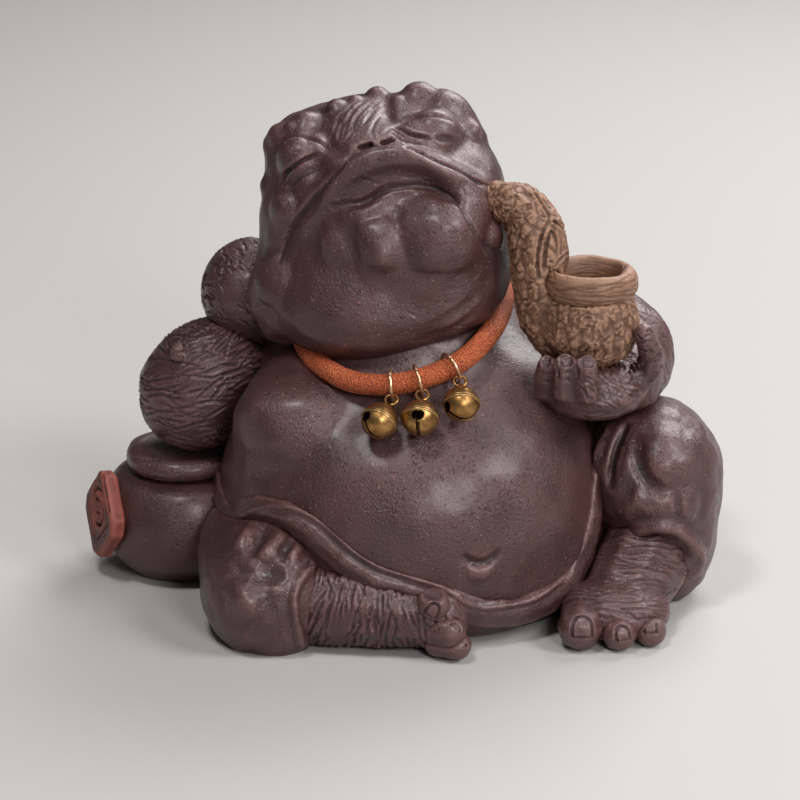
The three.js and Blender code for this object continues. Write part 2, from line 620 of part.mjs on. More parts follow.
function bellCupSolid() {
  const outer = arc(bellRadius, -90, -8, 4);
  const cup = turnedSolid([...outer, [bellRadius + bellFlange, -2 * bellFlange - seamGap],
    [bellRadius + bellFlange, -seamGap], ...arc(insideRadius, -2, -90, 4)], bellSides);
  const slotReach = bellRadius * Math.cos(radians(slotHoleAngle));
  const slit = solidFrom(new THREE.BoxGeometry(slotWidth, 2 * bellRadius * Math.sin(radians(slotHoleAngle)),
    bellRadius).translate(0, 0, -slotReach - bellRadius / 2 + bellWall));
  const holes = [-1, 1].map((side) => solidFrom(
    new THREE.CylinderGeometry(slotHoleRadius, slotHoleRadius, bellRadius, holeSides)
      .translate(0, -bellRadius, 0).rotateX(radians(90 - side * (90 - slotHoleAngle) - 90))));
  return trimmed(cup, [slit, ...holes]);
}

// How far the loop's middle lies above the middle of the bell.
const loopHeight = crownTop + seamGap + 2 * loopWire + loopRadius;

function bellLoopSolid() {
  const eye = solidFrom(new THREE.TorusGeometry(loopRadius, loopWire, 5, 8).rotateX(Math.PI / 2)
    .translate(0, 0, loopHeight));
  const headRadius = 2.6 * loopWire;
  const headTop = insideRadius - bellWall;
  const rivet = turnedSolid([
    [0, headTop - bellWall], [headRadius, headTop - bellWall], [headRadius, headTop], [loopWire, headTop],
    [loopWire, crownTop + seamGap], [headRadius, crownTop + seamGap],
    [loopWire, crownTop + seamGap + 2 * loopWire], [0, crownTop + seamGap + 2 * loopWire],
  ], 6);
  return eye.add(rivet);
}

// Where along the cord's front a bell is threaded, that far across the toad.
function spotAcross(x) {
  let [low, high] = [0.3, 0.75];
  for (let step = 0; step < 30; step++) {
    const middle = (low + high) / 2;
    if (cordCurve.getPointAt(middle).x < x) low = middle;
    else high = middle;
  }
  return low;
}

bellSpots.forEach((across, i) => {
  const name = `bell_${i + 1}`;
  const share = spotAcross(across);
  const along = cordCurve.getTangentAt(share).normalize();
  const down = point([0, 0, -1]).addScaledVector(along, along.z).normalize();
  const up = down.applyAxisAngle(along, -radians(bellLift[i])).negate();

  // The ring's own frame has the cord along X, and the bell hangs along its -Z.
  const ring = new THREE.Group();
  ring.position.copy(cordCurve.getPointAt(share));
  ring.quaternion.setFromRotationMatrix(new THREE.Matrix4().makeBasis(along, up.clone().cross(along), up));
  collar.add(ring);
  const ringDrop = ringRadius - ringWire - cordRadius - ringPlay;
  const wire = solidFrom(new THREE.TorusGeometry(ringRadius, ringWire, 5, 14).rotateY(Math.PI / 2)
    .translate(0, 0, -ringDrop));
  const split = solidFrom(new THREE.BoxGeometry(4 * ringWire, 4 * ringWire, ringSplit)
    .translate(0, -ringRadius, -ringDrop));
  add(ring, `jump_ring_${i + 1}`, wire.subtract(split), goldFinish);

  // The bell swings about the wire that its loop is hooked over.
  const bell = new THREE.Group();
  bell.position.z = -ringDrop - ringRadius;
  bell.rotation.y = radians(bellSway[i]);
  ring.add(bell);
  const body = new THREE.Group();
  body.position.z = ringWire + ringPlay + loopWire - loopRadius - loopHeight;
  bell.add(body);
  const shells = new THREE.Group();
  shells.rotation.z = radians(bellTurn[i]);
  body.add(shells);
  add(body, `${name}_loop`, bellLoopSolid(), brassFinish);
  add(shells, `${name}_cap`, bellCapSolid(), brassFinish);
  add(shells, `${name}_cup`, bellCupSolid(), brassFinish);
  const peaPlace = [0, 0, peaRadius + luteGap - insideRadius];
  add(shells, `${name}_pea`, new THREE.OctahedronGeometry(peaRadius, 1).translate(...peaPlace),
    brassFinish, peaPlace);
});

export default toad;
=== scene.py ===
# Money toad tea pet: dark clay toad with a tan pipe, a wine jar and a leather collar with jingle bells.
import json
import math
import random

import bmesh
import bpy
import numpy as np
from mathutils import Matrix, Vector, noise
from mathutils.bvhtree import BVHTree


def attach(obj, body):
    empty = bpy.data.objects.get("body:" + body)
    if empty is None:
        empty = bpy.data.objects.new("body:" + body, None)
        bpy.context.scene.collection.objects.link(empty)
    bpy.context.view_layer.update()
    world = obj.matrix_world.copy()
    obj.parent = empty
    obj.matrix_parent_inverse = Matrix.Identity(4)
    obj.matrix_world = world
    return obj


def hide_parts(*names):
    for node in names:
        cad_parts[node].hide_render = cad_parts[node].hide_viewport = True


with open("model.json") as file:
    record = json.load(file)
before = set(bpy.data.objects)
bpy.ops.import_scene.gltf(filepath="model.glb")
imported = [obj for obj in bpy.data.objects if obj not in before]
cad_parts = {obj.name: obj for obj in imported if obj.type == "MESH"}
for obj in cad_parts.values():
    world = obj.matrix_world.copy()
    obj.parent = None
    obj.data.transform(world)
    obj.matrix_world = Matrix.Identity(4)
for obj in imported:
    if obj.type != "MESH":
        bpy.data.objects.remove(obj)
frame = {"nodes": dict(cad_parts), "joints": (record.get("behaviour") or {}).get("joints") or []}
bpy.ops.object.select_all(action="DESELECT")
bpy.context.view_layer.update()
mm = 0.001
joints = {joint["name"]: joint for joint in frame["joints"]}
figure = "figure"  # the body that does not move

# Camera

view = {
    "frameSide": 800,  # pixels
    "focal": 3315,  # pixels
    "pitch": 20,  # degrees down
    "distance": 650,  # mm
    "originAcross": 8,  # pixels from the middle of the picture to the part's origin
    "originBelow": 162,
}


def makeCamera():
    pitch = math.radians(view["pitch"])
    forward = Vector((0, math.cos(pitch), -math.sin(pitch)))
    upward = Vector((0, math.sin(pitch), math.cos(pitch)))
    away = view["distance"] * mm
    aside = Vector((1, 0, 0)) * view["originAcross"] - upward * view["originBelow"]
    place = -(aside / view["focal"] + forward) * away
    bpy.ops.object.camera_add(location=place, rotation=(math.pi / 2 - pitch, 0, 0))
    camera = bpy.context.object
    camera.data.sensor_width = 36
    camera.data.lens = view["focal"] / view["frameSide"] * camera.data.sensor_width
    bpy.context.scene.camera = camera
    return place, forward, upward


eye, forward, upward = makeCamera()
print("camera set")


def sightLine(pixel):
    half = view["frameSide"] / 2
    across, down = pixel[0] - half, pixel[1] - half
    return (forward * view["focal"] + Vector((across, 0, 0)) - upward * down).normalized()


# Clay modelling tools


def throughPoints(points, spacing):
    # a smooth line through the points, cut into even steps
    known = [Vector(p) for p in points]
    if len(known) == 1:
        return known
    ends = [known[0] * 2 - known[1], *known, known[-1] * 2 - known[-2]]
    line = []
    for a, b, c, d in zip(ends, ends[1:], ends[2:], ends[3:]):
        steps = max(1, round((c - b).length / spacing))
        gaps = [max((q - p).length ** 0.5, 1e-9) for p, q in ((a, b), (b, c), (c, d))]
        slopeB = ((b - a) / gaps[0] - (c - a) / (gaps[0] + gaps[1]) + (c - b) / gaps[1]) * gaps[1]
        slopeC = ((c - b) / gaps[1] - (d - b) / (gaps[1] + gaps[2]) + (d - c) / gaps[2]) * gaps[1]
        for step in range(steps):
            t = step / steps
            line.append(
                b * (2 * t**3 - 3 * t**2 + 1)
                + slopeB * (t**3 - 2 * t**2 + t)
                + c * (3 * t**2 - 2 * t**3)
                + slopeC * (t**3 - t**2)
            )
    line.append(known[-1])
    return line


def pick(piece):
    bpy.context.view_layer.objects.active = piece
    piece.select_set(True)


def applyAll(piece):
    pick(piece)
    for modifier in list(piece.modifiers):
        bpy.ops.object.modifier_apply(modifier=modifier.name)
    piece.select_set(False)


def newPiece(name, shape=None):
    # an object with an empty mesh, or with the mesh of a finished shape
    mesh = bpy.data.meshes.new(name)
    if shape:
        shape.to_mesh(mesh)
        shape.free()
    piece = bpy.data.objects.new(name, mesh)
    bpy.context.scene.collection.objects.link(piece)
    return piece


def looseFaces(nodes):
    # a copy of the CAD nodes' own surface, with its triangles joined up
    shape = bmesh.new()
    for node in nodes:
        shape.from_mesh(frame["nodes"][node].data)
    bmesh.ops.remove_doubles(shape, verts=shape.verts, dist=0.001 * mm)
    return newPiece(nodes[0], shape)


class Clay:
    # The skin of one piece of clay, and the tools that work it. It is a turned piece, or grows from the CAD
    # nodes. Lengths are in mm: the mesh's grain, how far the skin swells, and what is filled on the way.
    def __init__(self, nodes, grain, rounds, swell=0.0, filled=0.0, soft=0, piece=None):
        self.grain = grain * 1
        self.piece = piece or looseFaces(nodes)
        if not piece:
            self.piece.modifiers.new("Swell", "DISPLACE").strength = 2 * (swell + filled) * mm
            self.piece.modifiers["Swell"].mid_level = 0.5
        coarse = 0.5
        self.remesh(coarse if soft else self.grain)
        if filled:  # narrow gaps stay filled when the swelling goes down
            self.smooth(4)
            self.swell(-filled)
            self.remesh(self.grain)
        if soft:  # rounds off the flat faces of the plain solid
            self.smooth(soft)
            self.remesh(self.grain)
        self.smooth(rounds)
        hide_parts(*nodes)

    def remesh(self, grain):
        lump = self.piece.modifiers.new("Lump", "REMESH")
        lump.mode = "VOXEL"
        lump.voxel_size = grain * mm
        applyAll(self.piece)
        self.read()

    def smooth(self, rounds):
        soft = self.piece.modifiers.new("Soft", "SMOOTH")
        soft.factor = 0.5
        soft.iterations = rounds
        applyAll(self.piece)
        self.read()

    def read(self):
        mesh = self.piece.data
        self.spots = np.empty((len(mesh.vertices), 3))
        mesh.vertices.foreach_get("co", self.spots.ravel())
        self.normals = np.empty((len(mesh.vertices), 3))
        mesh.vertex_normals.foreach_get("vector", self.normals.ravel())
        self.tree = None

    def write(self):
        self.piece.data.vertices.foreach_set("co", self.spots.ravel())
        self.piece.data.update()
        self.read()

    def surface(self):
        if self.tree is None:
            mesh = self.piece.data
            mesh.calc_loop_triangles()
            triangles = [tuple(t.vertices) for t in mesh.loop_triangles]
            self.tree = BVHTree.FromPolygons([tuple(v) for v in self.spots], triangles)
        return self.tree

    def seen(self, pixel):
        # where the camera's line through a pixel meets the clay
        place, normal, _, _ = self.surface().ray_cast(eye, sightLine(pixel))
        return (place, normal) if place else None

    def laid(self, point):
        place, normal, _, _ = self.surface().find_nearest(Vector(point) * mm)
        return place, normal

    def trace(self, path):
        # pixels, or points in mm, to a line that lies on the skin
        pixelStep, mmStep = 3, 0.6
        if len(path[0]) == 2:
            hits = [self.seen(p) for p in throughPoints([(*p, 0) for p in path], pixelStep)]
        else:
            hits = [self.laid(p) for p in throughPoints(path, mmStep)]
        hits = [h for h in hits if h]
        line, normals = np.array([h[0] for h in hits]), np.array([h[1] for h in hits])
        if len(hits) > 2:
            for _ in range(4):
                line[1:-1] = (line[:-2] + line[1:-1] + line[2:]) / 3
                normals[1:-1] += normals[:-2] + normals[2:]
                normals /= np.linalg.norm(normals, axis=1, keepdims=True)
        return line, normals

    def nearby(self, line, reach):
        low, high = line.min(0) - reach, line.max(0) + reach
        return np.flatnonzero(((self.spots > low) & (self.spots < high)).all(1))

    def measure(self, line, normals, reach):
        # each near point's distance to the line, how far along it lies, and the skin's direction there
        near = self.nearby(line, reach)
        spots = self.spots[near]
        best = np.full(len(near), 1e9)
        share = np.zeros(len(near))
        aim = np.repeat(normals[:1], len(near), 0)
        pieces = max(len(line) - 1, 1)
        for i in range(pieces):
            start, after = line[i], min(i + 1, len(line) - 1)
            along = line[after] - start
            size = along @ along
            t = np.clip((spots - start) @ along / size, 0, 1) if size > 0 else np.zeros(len(near))
            gap = np.linalg.norm(spots - start - t[:, None] * along, axis=1)
            closer = gap < best
            best[closer] = gap[closer]
            share[closer] = (i + t[closer]) / pieces
            aim[closer] = normals[i] + (normals[after] - normals[i]) * t[closer, None]
        kept = best < reach
        return near[kept], best[kept], share[kept], aim[kept]

    def facing(self, near, aim):
        # 1 on the side of the clay that is worked, falling to 0 where the skin turns away from it
        return np.clip((self.normals[near] * aim).sum(1) * 2 + 0.4, 0, 1)

    def stroke(self, path, width, depth, lips=0.0, ends=0.18, sharp=False):
        # presses a groove (depth above 0) or raises a ridge (below 0), in mm, thinning at its ends
        line, normals = self.trace(path)
        if len(line) < 2:
            return
        lipAt, lipWide, lipReach = 1.25, 0.4, 2.2  # in widths of the groove
        near, gap, share, aim = self.measure(line, normals, width * mm * (lipReach if lips else 1))
        across = gap / (width * mm)
        if sharp:
            cut = np.clip(1 - across, 0, 1) ** 1.5
        else:
            cut = np.clip(1 - across**2, 0, 1) ** 2
        taper = np.clip(np.minimum(share, 1 - share) / ends, 0, 1) ** 0.7 if ends else 1
        raised = np.exp(-(((across - lipAt) / lipWide) ** 2)) * lips if lips else 0
        shift = (raised - cut) * taper * self.facing(near, aim) * depth * mm
        self.spots[near] += aim * shift[:, None]

    def dome(self, middle, radius, height, power=1.0):
        # raises a bump, or presses a hollow where the height is below 0; a power of 2 has no edge
        spot = self.seen(middle) if len(middle) == 2 else self.laid(middle)
        if not spot:
            return
        near, gap, _, aim = self.measure(np.array([spot[0]]), np.array([spot[1]]), radius * mm)
        rise = np.clip(1 - (gap / (radius * mm)) ** 2, 0, 1) ** power
        self.spots[near] += self.normals[near] * (rise * self.facing(near, aim) * height * mm)[:, None]

    def grooves(self, marks, rows):
        # each row: a mark or a list of them, width, depth, how far the ends thin out, lips
        for name, width, depth, ends, *lips in rows:
            several = isinstance(marks[name][0][0], tuple)
            for line in marks[name] if several else [marks[name]]:
                self.stroke(line, width, depth, *lips, ends=ends)

    def bumps(self, marks, rows):
        # each row: a spot or a list of them, radius, height, power
        for name, *size in rows:
            for spot in [marks[name]] if isinstance(marks[name], tuple) else marks[name]:
                self.dome(spot, *size)

    def plate(self, middle, width, height, depth):
        # presses a nail with a raised rim, its width and height in pixels
        spot = self.seen(middle)
        if not spot:
            return
        pixel = view["distance"] / view["focal"] * mm
        normal = Vector(spot[1])
        across = Vector((1, 0, 0))
        across = (across - normal * across.dot(normal)).normalized()
        along = normal.cross(across)
        near = self.nearby(np.array([spot[0]]), max(width, height) * pixel)
        offset = self.spots[near] - np.array(spot[0])
        aside, ahead = offset @ across / (width / 2 * pixel), offset @ along / (height / 2 * pixel)
        away = (np.abs(aside) ** 3 + np.abs(ahead) ** 3) ** (1 / 3)
        rimAt, rimWide, rimHeight = 1.25, 0.2, 0.4  # its place and width in nails, its height in depths
        rim = rimHeight * np.exp(-(((away - rimAt) / rimWide) ** 2))
        shape = rim - np.clip((1.05 - away) / 0.3, 0, 1)
        facing = np.clip(self.normals[near] @ normal * 2 - 0.2, 0, 1)
        self.spots[near] += np.array(normal) * (shape * facing * depth * mm)[:, None]

    def swell(self, amount):
        self.spots += self.normals * amount * mm
        self.write()

    def ripple(self, size, height, stretch=(1, 1, 1), cells=False, seed=0.0):
        # the unevenness of hand-worked clay, in swells of one size, or in small tilted faces
        offset = Vector((seed, seed * 1.7, seed * 2.3))
        creaseDepth, creaseWidth = 0.6, 0.16
        lifts = np.empty(len(self.spots))
        for i, spot in enumerate(self.spots):
            place = Vector([c / (size * mm * s) for c, s in zip(spot, stretch)]) + offset
            if cells:
                distances, middles = noise.voronoi(place)
                tilt = (place - middles[0]).dot(noise.cell_vector(middles[0] * 9) - Vector((0.5, 0.5, 0.5)))
                edge = ((distances[1] - distances[0]) / creaseWidth) ** 2
                lifts[i] = tilt * 2 - creaseDepth * math.exp(-edge)
            else:
                lifts[i] = noise.noise(place)
        self.spots += self.normals * (lifts * height * mm)[:, None]
        self.write()

    def hatch(self, inside, flow, count, length, width, depth, seed, wander=0.25):
        # many short strokes of a comb or needle, laid along the flow
        dice = random.Random(seed)
        tree = self.surface()
        step = 0.5
        before = self.spots.copy()
        picked = 0
        for _ in range(count * 12):
            if picked == count:
                break
            i = dice.randrange(len(self.spots))
            place, normal = Vector(self.spots[i]), Vector(self.normals[i])
            if not inside(place / mm, normal):
                continue
            picked += 1
            bend = dice.uniform(-wander, wander)
            heading = Matrix.Rotation(dice.gauss(0, wander), 3, normal) @ flow(place / mm, normal)
            line, normals = [], []
            for _ in range(max(3, round(length * dice.uniform(0.6, 1.3) / step))):
                line.append(place)
                normals.append(normal)
                heading = Matrix.Rotation(bend * 0.12, 3, normal) @ heading
                heading = (heading - normal * heading.dot(normal)).normalized()
                place, normal, _, _ = tree.find_nearest(place + heading * (step * mm))
            self.cut(np.array(line), np.array(normals), width * dice.uniform(0.8, 1.3), depth)
        # the edges of crossing strokes don't pile up
        highest = 0.4 * depth * mm
        rise = ((self.spots - before) * self.normals).sum(1)
        self.spots -= self.normals * np.clip(rise - highest, 0, None)[:, None]
        self.write()

    def cut(self, line, normals, width, depth):
        # one stroke of the comb, with a low edge on both sides
        edgeAt, edgeWide, edgeReach, edgeHeight = 1.3, 0.5, 2.2, 0.35
        near, gap, share, aim = self.measure(line, normals, edgeReach * width * mm)
        across = gap / (width * mm)
        edge = np.exp(-(((across - edgeAt) / edgeWide) ** 2)) * edgeHeight
        shape = edge - np.clip(1 - across**2, 0, 1)
        taper = np.clip(np.minimum(share, 1 - share) / 0.3, 0, 1)
        self.spots[near] += aim * (shape * taper * depth * mm)[:, None]

    def finish(self, slotName="dark_clay"):
        foot = 0.02 * mm  # flat, just above the table
        self.spots[:, 2] = np.maximum(self.spots[:, 2], foot)
        self.write()
        self.markRelief()
        finishPiece(self.piece, figure, slotName)

    def markRelief(self):
        # how much each spot stands out of the skin around it, for the material, which paints shade into the
        # hollows and a highlight onto the raised spots
        around, gain = 1.2, 2.2  # mm that are looked at, and how strongly the mark answers
        mesh = self.piece.data
        edges = np.empty(len(mesh.edges) * 2, int)
        mesh.edges.foreach_get("vertices", edges)
        first, second = edges.reshape(-1, 2).T
        count = len(self.spots)
        degree = np.bincount(np.concatenate([first, second]), minlength=count)[:, None]
        level = self.spots
        for _ in range(max(3, round(around / self.grain**2))):
            total = np.zeros((count, 3))
            for axis in range(3):
                total[:, axis] += np.bincount(first, level[second, axis], count)
                total[:, axis] += np.bincount(second, level[first, axis], count)
            level = total / np.maximum(degree, 1)
        relief = ((self.spots - level) * self.normals).sum(1) / mm
        stored = mesh.attributes.new("relief", "FLOAT", "POINT")
        stored.data.foreach_set("value", np.clip(0.5 + relief * gain, 0, 1).astype(np.float32))


def finishPiece(piece, body, slotName):
    piece.data.materials.clear()
    piece.data.materials.append(finishes[slotName])
    pick(piece)
    bpy.ops.object.shade_smooth()
    piece.select_set(False)
    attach(piece, body)


def turned(name, profile, steps, arc=360):
    # a profile of (radius, height) in mm, spun round the upright axis
    spots = [(r * mm, 0, z * mm) for r, z in profile]
    closed = spots[0] == spots[-1]
    if closed:
        spots = spots[:-1]
    links = [(i, i + 1) for i in range(len(spots) - 1)]
    if closed:
        links.append((len(spots) - 1, 0))
    piece = newPiece(name)
    piece.data.from_pydata(spots, links, [])
    pick(piece)
    bpy.ops.object.mode_set(mode="EDIT")
    bpy.ops.mesh.select_all(action="SELECT")
    bpy.ops.mesh.spin(steps=steps, angle=math.radians(arc), center=(0, 0, 0), axis=(0, 0, 1))
    bpy.ops.mesh.select_all(action="SELECT")
    bpy.ops.mesh.remove_doubles(threshold=0.002 * mm)
    bpy.ops.mesh.normals_make_consistent(inside=False)
    bpy.ops.object.mode_set(mode="OBJECT")
    piece.select_set(False)
    return piece


def placed(piece, x, y, z):
    piece.data.transform(Matrix.Translation(Vector((x, y, z)) * mm))
    return piece


def roundArc(radius, start, end, steps, middle=(0, 0), flat=1.0):
    turns = [math.radians(start + (end - start) * i / steps) for i in range(steps + 1)]
    return [(middle[0] + radius * math.cos(t), middle[1] + flat * radius * math.sin(t)) for t in turns]


def roundSection(radius, steps, middle, flat=1.0):
    # a whole round, closed on its first point
    section = roundArc(radius, 0, 360, steps, middle, flat)
    return [*section[:-1], section[0]]


# Finishes


class Wire:
    # a socket that can be used in sums
    def __init__(self, finish, socket):
        self.finish = finish
        self.socket = socket

    def sum(self, operation, first, second):
        return self.finish.add("ShaderNodeMath", {"operation": operation}, first, second)

    def __add__(self, other):
        return self.sum("ADD", self, other)

    def __radd__(self, other):
        return self.sum("ADD", other, self)

    def __sub__(self, other):
        return self.sum("SUBTRACT", self, other)

    def __rsub__(self, other):
        return self.sum("SUBTRACT", other, self)

    def __mul__(self, other):
        return self.sum("MULTIPLY", self, other)

    def __rmul__(self, other):
        return self.sum("MULTIPLY", other, self)

    def __lt__(self, other):
        return self.sum("LESS_THAN", self, other)


class Finish:
    # one material, made node by node
    def __init__(self, name, **plain):
        self.material = bpy.data.materials.new(name)
        self.material.use_nodes = True
        self.nodes = self.material.node_tree.nodes
        self.links = self.material.node_tree.links
        self.shader = self.nodes["Principled BSDF"]
        for socket, value in plain.items():
            self.shader.inputs[socket.replace("_", " ")].default_value = value
        self.place = self.add("ShaderNodeTexCoord", {}, output="Object")

    def add(self, kind, settings, *values, output=0, **named):
        node = self.nodes.new(kind)
        for name, value in settings.items():
            setattr(node, name, value)
        for key, value in [*enumerate(values), *named.items()]:
            socket = node.inputs[key]
            if isinstance(value, Wire):
                self.links.new(value.socket, socket)
            else:
                socket.default_value = value
        return Wire(self, node.outputs[output])

    def noise(self, size, detail=3.0, rough=0.5, place=None):
        # a cloudy pattern, with its size in mm
        return self.add("ShaderNodeTexNoise", {}, Vector=place or self.place, Scale=1 / (size * mm),
                        Detail=detail, Roughness=rough, output="Fac")

    def stretched(self, x, y, z):
        return self.add("ShaderNodeMapping", {}, Vector=self.place, Scale=(x, y, z))

    def specks(self, size, share, dot):
        # sparse dots: the share of cells that hold one, and the dot's radius as part of a cell
        cells = {"Vector": self.place, "Scale": 1 / (size * mm)}
        middle = self.add("ShaderNodeTexVoronoi", {}, **cells, output="Distance")
        colour = self.add("ShaderNodeTexVoronoi", {}, **cells, output="Color")
        chance = self.add("ShaderNodeSeparateColor", {}, colour, output="Red")
        return (chance < share) * (middle < dot)

    def ramp(self, value, low, high, start=0.0, end=1.0):
        # a value that eases from start to end while another goes from low to high
        return self.add("ShaderNodeMapRange", {"interpolation_type": "SMOOTHSTEP"}, value, low, high,
                        start, end)

    def mix(self, share, first, second):
        # named by place, because the Mix node lists its sockets for every data type
        node = self.nodes.new("ShaderNodeMix")
        node.data_type = "RGBA"
        for socket, value in ((node.inputs[0], share), (node.inputs[6], first), (node.inputs[7], second)):
            if isinstance(value, Wire):
                self.links.new(value.socket, socket)
            else:
                socket.default_value = value
        return Wire(self, node.outputs[2])

    def relief(self):
        return self.add("ShaderNodeAttribute", {"attribute_name": "relief"}, output="Fac")

    def feed(self, socket, value):
        self.links.new(value.socket, self.shader.inputs[socket])

    def bump(self, height, depth):
        self.feed("Normal", self.add("ShaderNodeBump", {}, Strength=1, Distance=depth * mm, Height=height))


def colour(red, green, blue):
    # a colour as a paint program gives it, made linear
    channels = [c / 255 for c in (red, green, blue)]
    return (*[c / 12.92 if c <= 0.04045 else ((c + 0.055) / 1.055) ** 2.4 for c in channels], 1)


def makeDarkClay():
    clay = Finish("darkClay", Coat_Weight=0.3, Coat_Roughness=0.27, Specular_IOR_Level=0.8,
                  Specular_Tint=(1, 0.82, 0.85, 1))
    relief = clay.relief()
    cloud = clay.noise(9, 4)
    grain = clay.noise(0.5, 3, 0.6)
    body = clay.mix(clay.ramp(cloud, 0.35, 0.65), colour(60, 33, 31), colour(74, 43, 41))
    body = clay.mix(clay.ramp(grain, 0.3, 0.75, 0, 0.35), body, colour(44, 26, 24))
    # painted shade: darker in hollows and creases
    body = clay.mix(clay.ramp(relief, 0.46, 0.05, 0, 0.6), body, colour(28, 15, 13))
    # painted highlight: lighter on raised spots
    body = clay.mix(clay.ramp(relief, 0.56, 0.9, 0, 0.5), body, colour(110, 76, 72))
    pale = clay.specks(0.55, 0.035, 0.2)
    body = clay.mix(pale * 0.7, body, colour(186, 160, 150))
    warm = clay.specks(0.9, 0.03, 0.17)
    body = clay.mix(warm * 0.75, body, colour(176, 108, 80))
    clay.feed("Base Color", body)
    rough = clay.ramp(cloud, 0.3, 0.7, 0.35, 0.43) + clay.ramp(grain, 0.3, 0.7, -0.05, 0.08)
    clay.feed("Roughness", rough + clay.ramp(relief, 0.45, 0.2, 0, 0.25))
    fine = clay.noise(0.22, 2)
    drag = clay.noise(0.7, 2, 0.5, clay.stretched(0.3, 1.5, 1.0))
    pits = clay.ramp(clay.noise(0.8, 2), 0.62, 0.7, 0, 1)
    clay.bump(grain * 0.7 + fine * 0.45 + drag * 0.3 - pits * 0.6, 0.26)
    return clay.material


def makeTanClay():
    clay = Finish("tanClay")
    relief = clay.relief()
    cloud = clay.noise(5, 4)
    grain = clay.noise(0.35, 4, 0.65)
    body = clay.mix(clay.ramp(cloud, 0.35, 0.65), colour(100, 68, 50), colour(120, 84, 63))
    body = clay.mix(clay.ramp(grain, 0.35, 0.7, 0, 0.4), body, colour(78, 50, 36))
    strands = clay.noise(0.45, 2, 0.5, clay.stretched(0.25, 0.25, 2.2))
    body = clay.mix(clay.ramp(strands, 0.5, 0.64, 0, 0.45), body, colour(84, 55, 40))
    # painted shade: darker in hollows and creases
    body = clay.mix(clay.ramp(relief, 0.45, 0.05, 0, 0.5), body, colour(54, 33, 24))
    # painted highlight: lighter on raised spots
    body = clay.mix(clay.ramp(relief, 0.55, 0.85, 0, 0.55), body, colour(168, 128, 102))
    clay.feed("Base Color", body)
    clay.feed("Roughness", clay.ramp(grain, 0.3, 0.7, 0.45, 0.65))
    clay.bump(grain * 0.5 - strands * 0.8, 0.2)
    return clay.material


labelBearing = -68  # degrees from the front of the jar round to its right


def makeRedClay():
    clay = Finish("redClay")
    relief = clay.relief()
    grain = clay.noise(0.4, 4, 0.6)
    body = clay.mix(clay.ramp(clay.noise(3, 3), 0.35, 0.65), colour(118, 54, 46), colour(138, 68, 59))
    # painted shade: the label's outward face is painted darker, as the shade it lies in
    outward = clay.add("ShaderNodeNewGeometry", {}, output="Normal")
    bearing = math.radians(labelBearing)
    face = Vector((math.sin(bearing), -math.cos(bearing), 0.1)).normalized()
    facing = clay.add("ShaderNodeVectorMath", {"operation": "DOT_PRODUCT"}, outward, tuple(face),
                      output="Value")
    body = clay.mix(clay.ramp(facing, 0.72, 0.9, 0, 0.85), body, colour(54, 22, 17))
    # painted shade in the carved lines
    body = clay.mix(clay.ramp(relief, 0.47, 0.2, 0, 0.9), body, colour(30, 13, 11))
    # painted highlight on the raised edges
    body = clay.mix(clay.ramp(relief, 0.58, 0.85, 0, 0.5), body, colour(164, 90, 78))
    clay.feed("Base Color", body)
    clay.feed("Roughness", clay.ramp(grain, 0.3, 0.7, 0.5, 0.65))
    clay.bump(grain, 0.1)
    return clay.material


def makeLeather():
    hide = Finish("leather")
    cloud = hide.noise(3.5, 4)
    pores = hide.noise(0.3, 3, 0.7)
    pebbles = hide.add("ShaderNodeTexVoronoi", {}, Vector=hide.place, Scale=1 / (0.34 * mm),
                       output="Distance")
    pebbles = pebbles + pores * 0.8
    body = hide.mix(hide.ramp(cloud, 0.3, 0.7), colour(186, 88, 44), colour(206, 106, 58))
    body = hide.mix(hide.ramp(pebbles, 0.8, 1.0, 0, 0.65), body, colour(112, 44, 20))
    body = hide.mix(hide.ramp(pebbles, 0.66, 0.45, 0, 0.55), body, colour(226, 140, 88))
    hide.feed("Base Color", body)
    hide.feed("Roughness", hide.ramp(pebbles, 0.5, 1, 0.4, 0.66))
    hide.bump(1 - pebbles, 0.28)
    return hide.material


def makeAgedBrass():
    brass = Finish("agedBrass")
    relief = brass.relief()
    cloud = brass.noise(1.7, 4, 0.6)
    brushed = brass.noise(0.2, 3, 0.6, brass.stretched(0.25, 1, 1.6))
    body = brass.mix(brass.ramp(cloud, 0.35, 0.66), colour(186, 142, 86), colour(130, 94, 54))
    body = brass.mix(brass.ramp(brushed, 0.42, 0.62, 0, 0.4), body, colour(92, 60, 32))
    # painted shade where the marks are low: beside the seam, inside the bell, on the rivet and the pea
    body = brass.mix(brass.ramp(relief, 0.47, 0.3, 0, 0.85), body, colour(54, 34, 17))
    # painted highlight where the marks are high: the flange's edge
    body = brass.mix(brass.ramp(relief, 0.55, 0.8, 0, 0.7), body, colour(228, 190, 136))
    brass.feed("Base Color", body)
    brass.feed("Metallic", brass.ramp(cloud, 0.3, 0.8, 1, 0.86))
    streaks = brass.ramp(brushed, 0.3, 0.7, -0.03, 0.06)
    brass.feed("Roughness", brass.ramp(cloud, 0.3, 0.7, 0.3, 0.44) + streaks)
    brass.bump(brushed, 0.012)
    return brass.material


def makePolishedBrass():
    wire = Finish("polishedBrass")
    cloud = wire.noise(2.5, 2)
    body = wire.mix(wire.ramp(cloud, 0.4, 0.7), colour(238, 198, 160), colour(214, 168, 126))
    wire.feed("Base Color", body)
    wire.feed("Metallic", wire.ramp(cloud, 0.2, 0.9, 1, 0.97))
    wire.feed("Roughness", wire.ramp(cloud, 0.3, 0.7, 0.3, 0.38))
    return wire.material


finishes = {
    "dark_clay": makeDarkClay(),
    "tan_clay": makeTanClay(),
    "red_clay": makeRedClay(),
    "leather": makeLeather(),
    "aged_brass": makeAgedBrass(),
    "polished_brass": makePolishedBrass(),
}
print("finishes mixed")

# Head, modelled in pixels of the picture

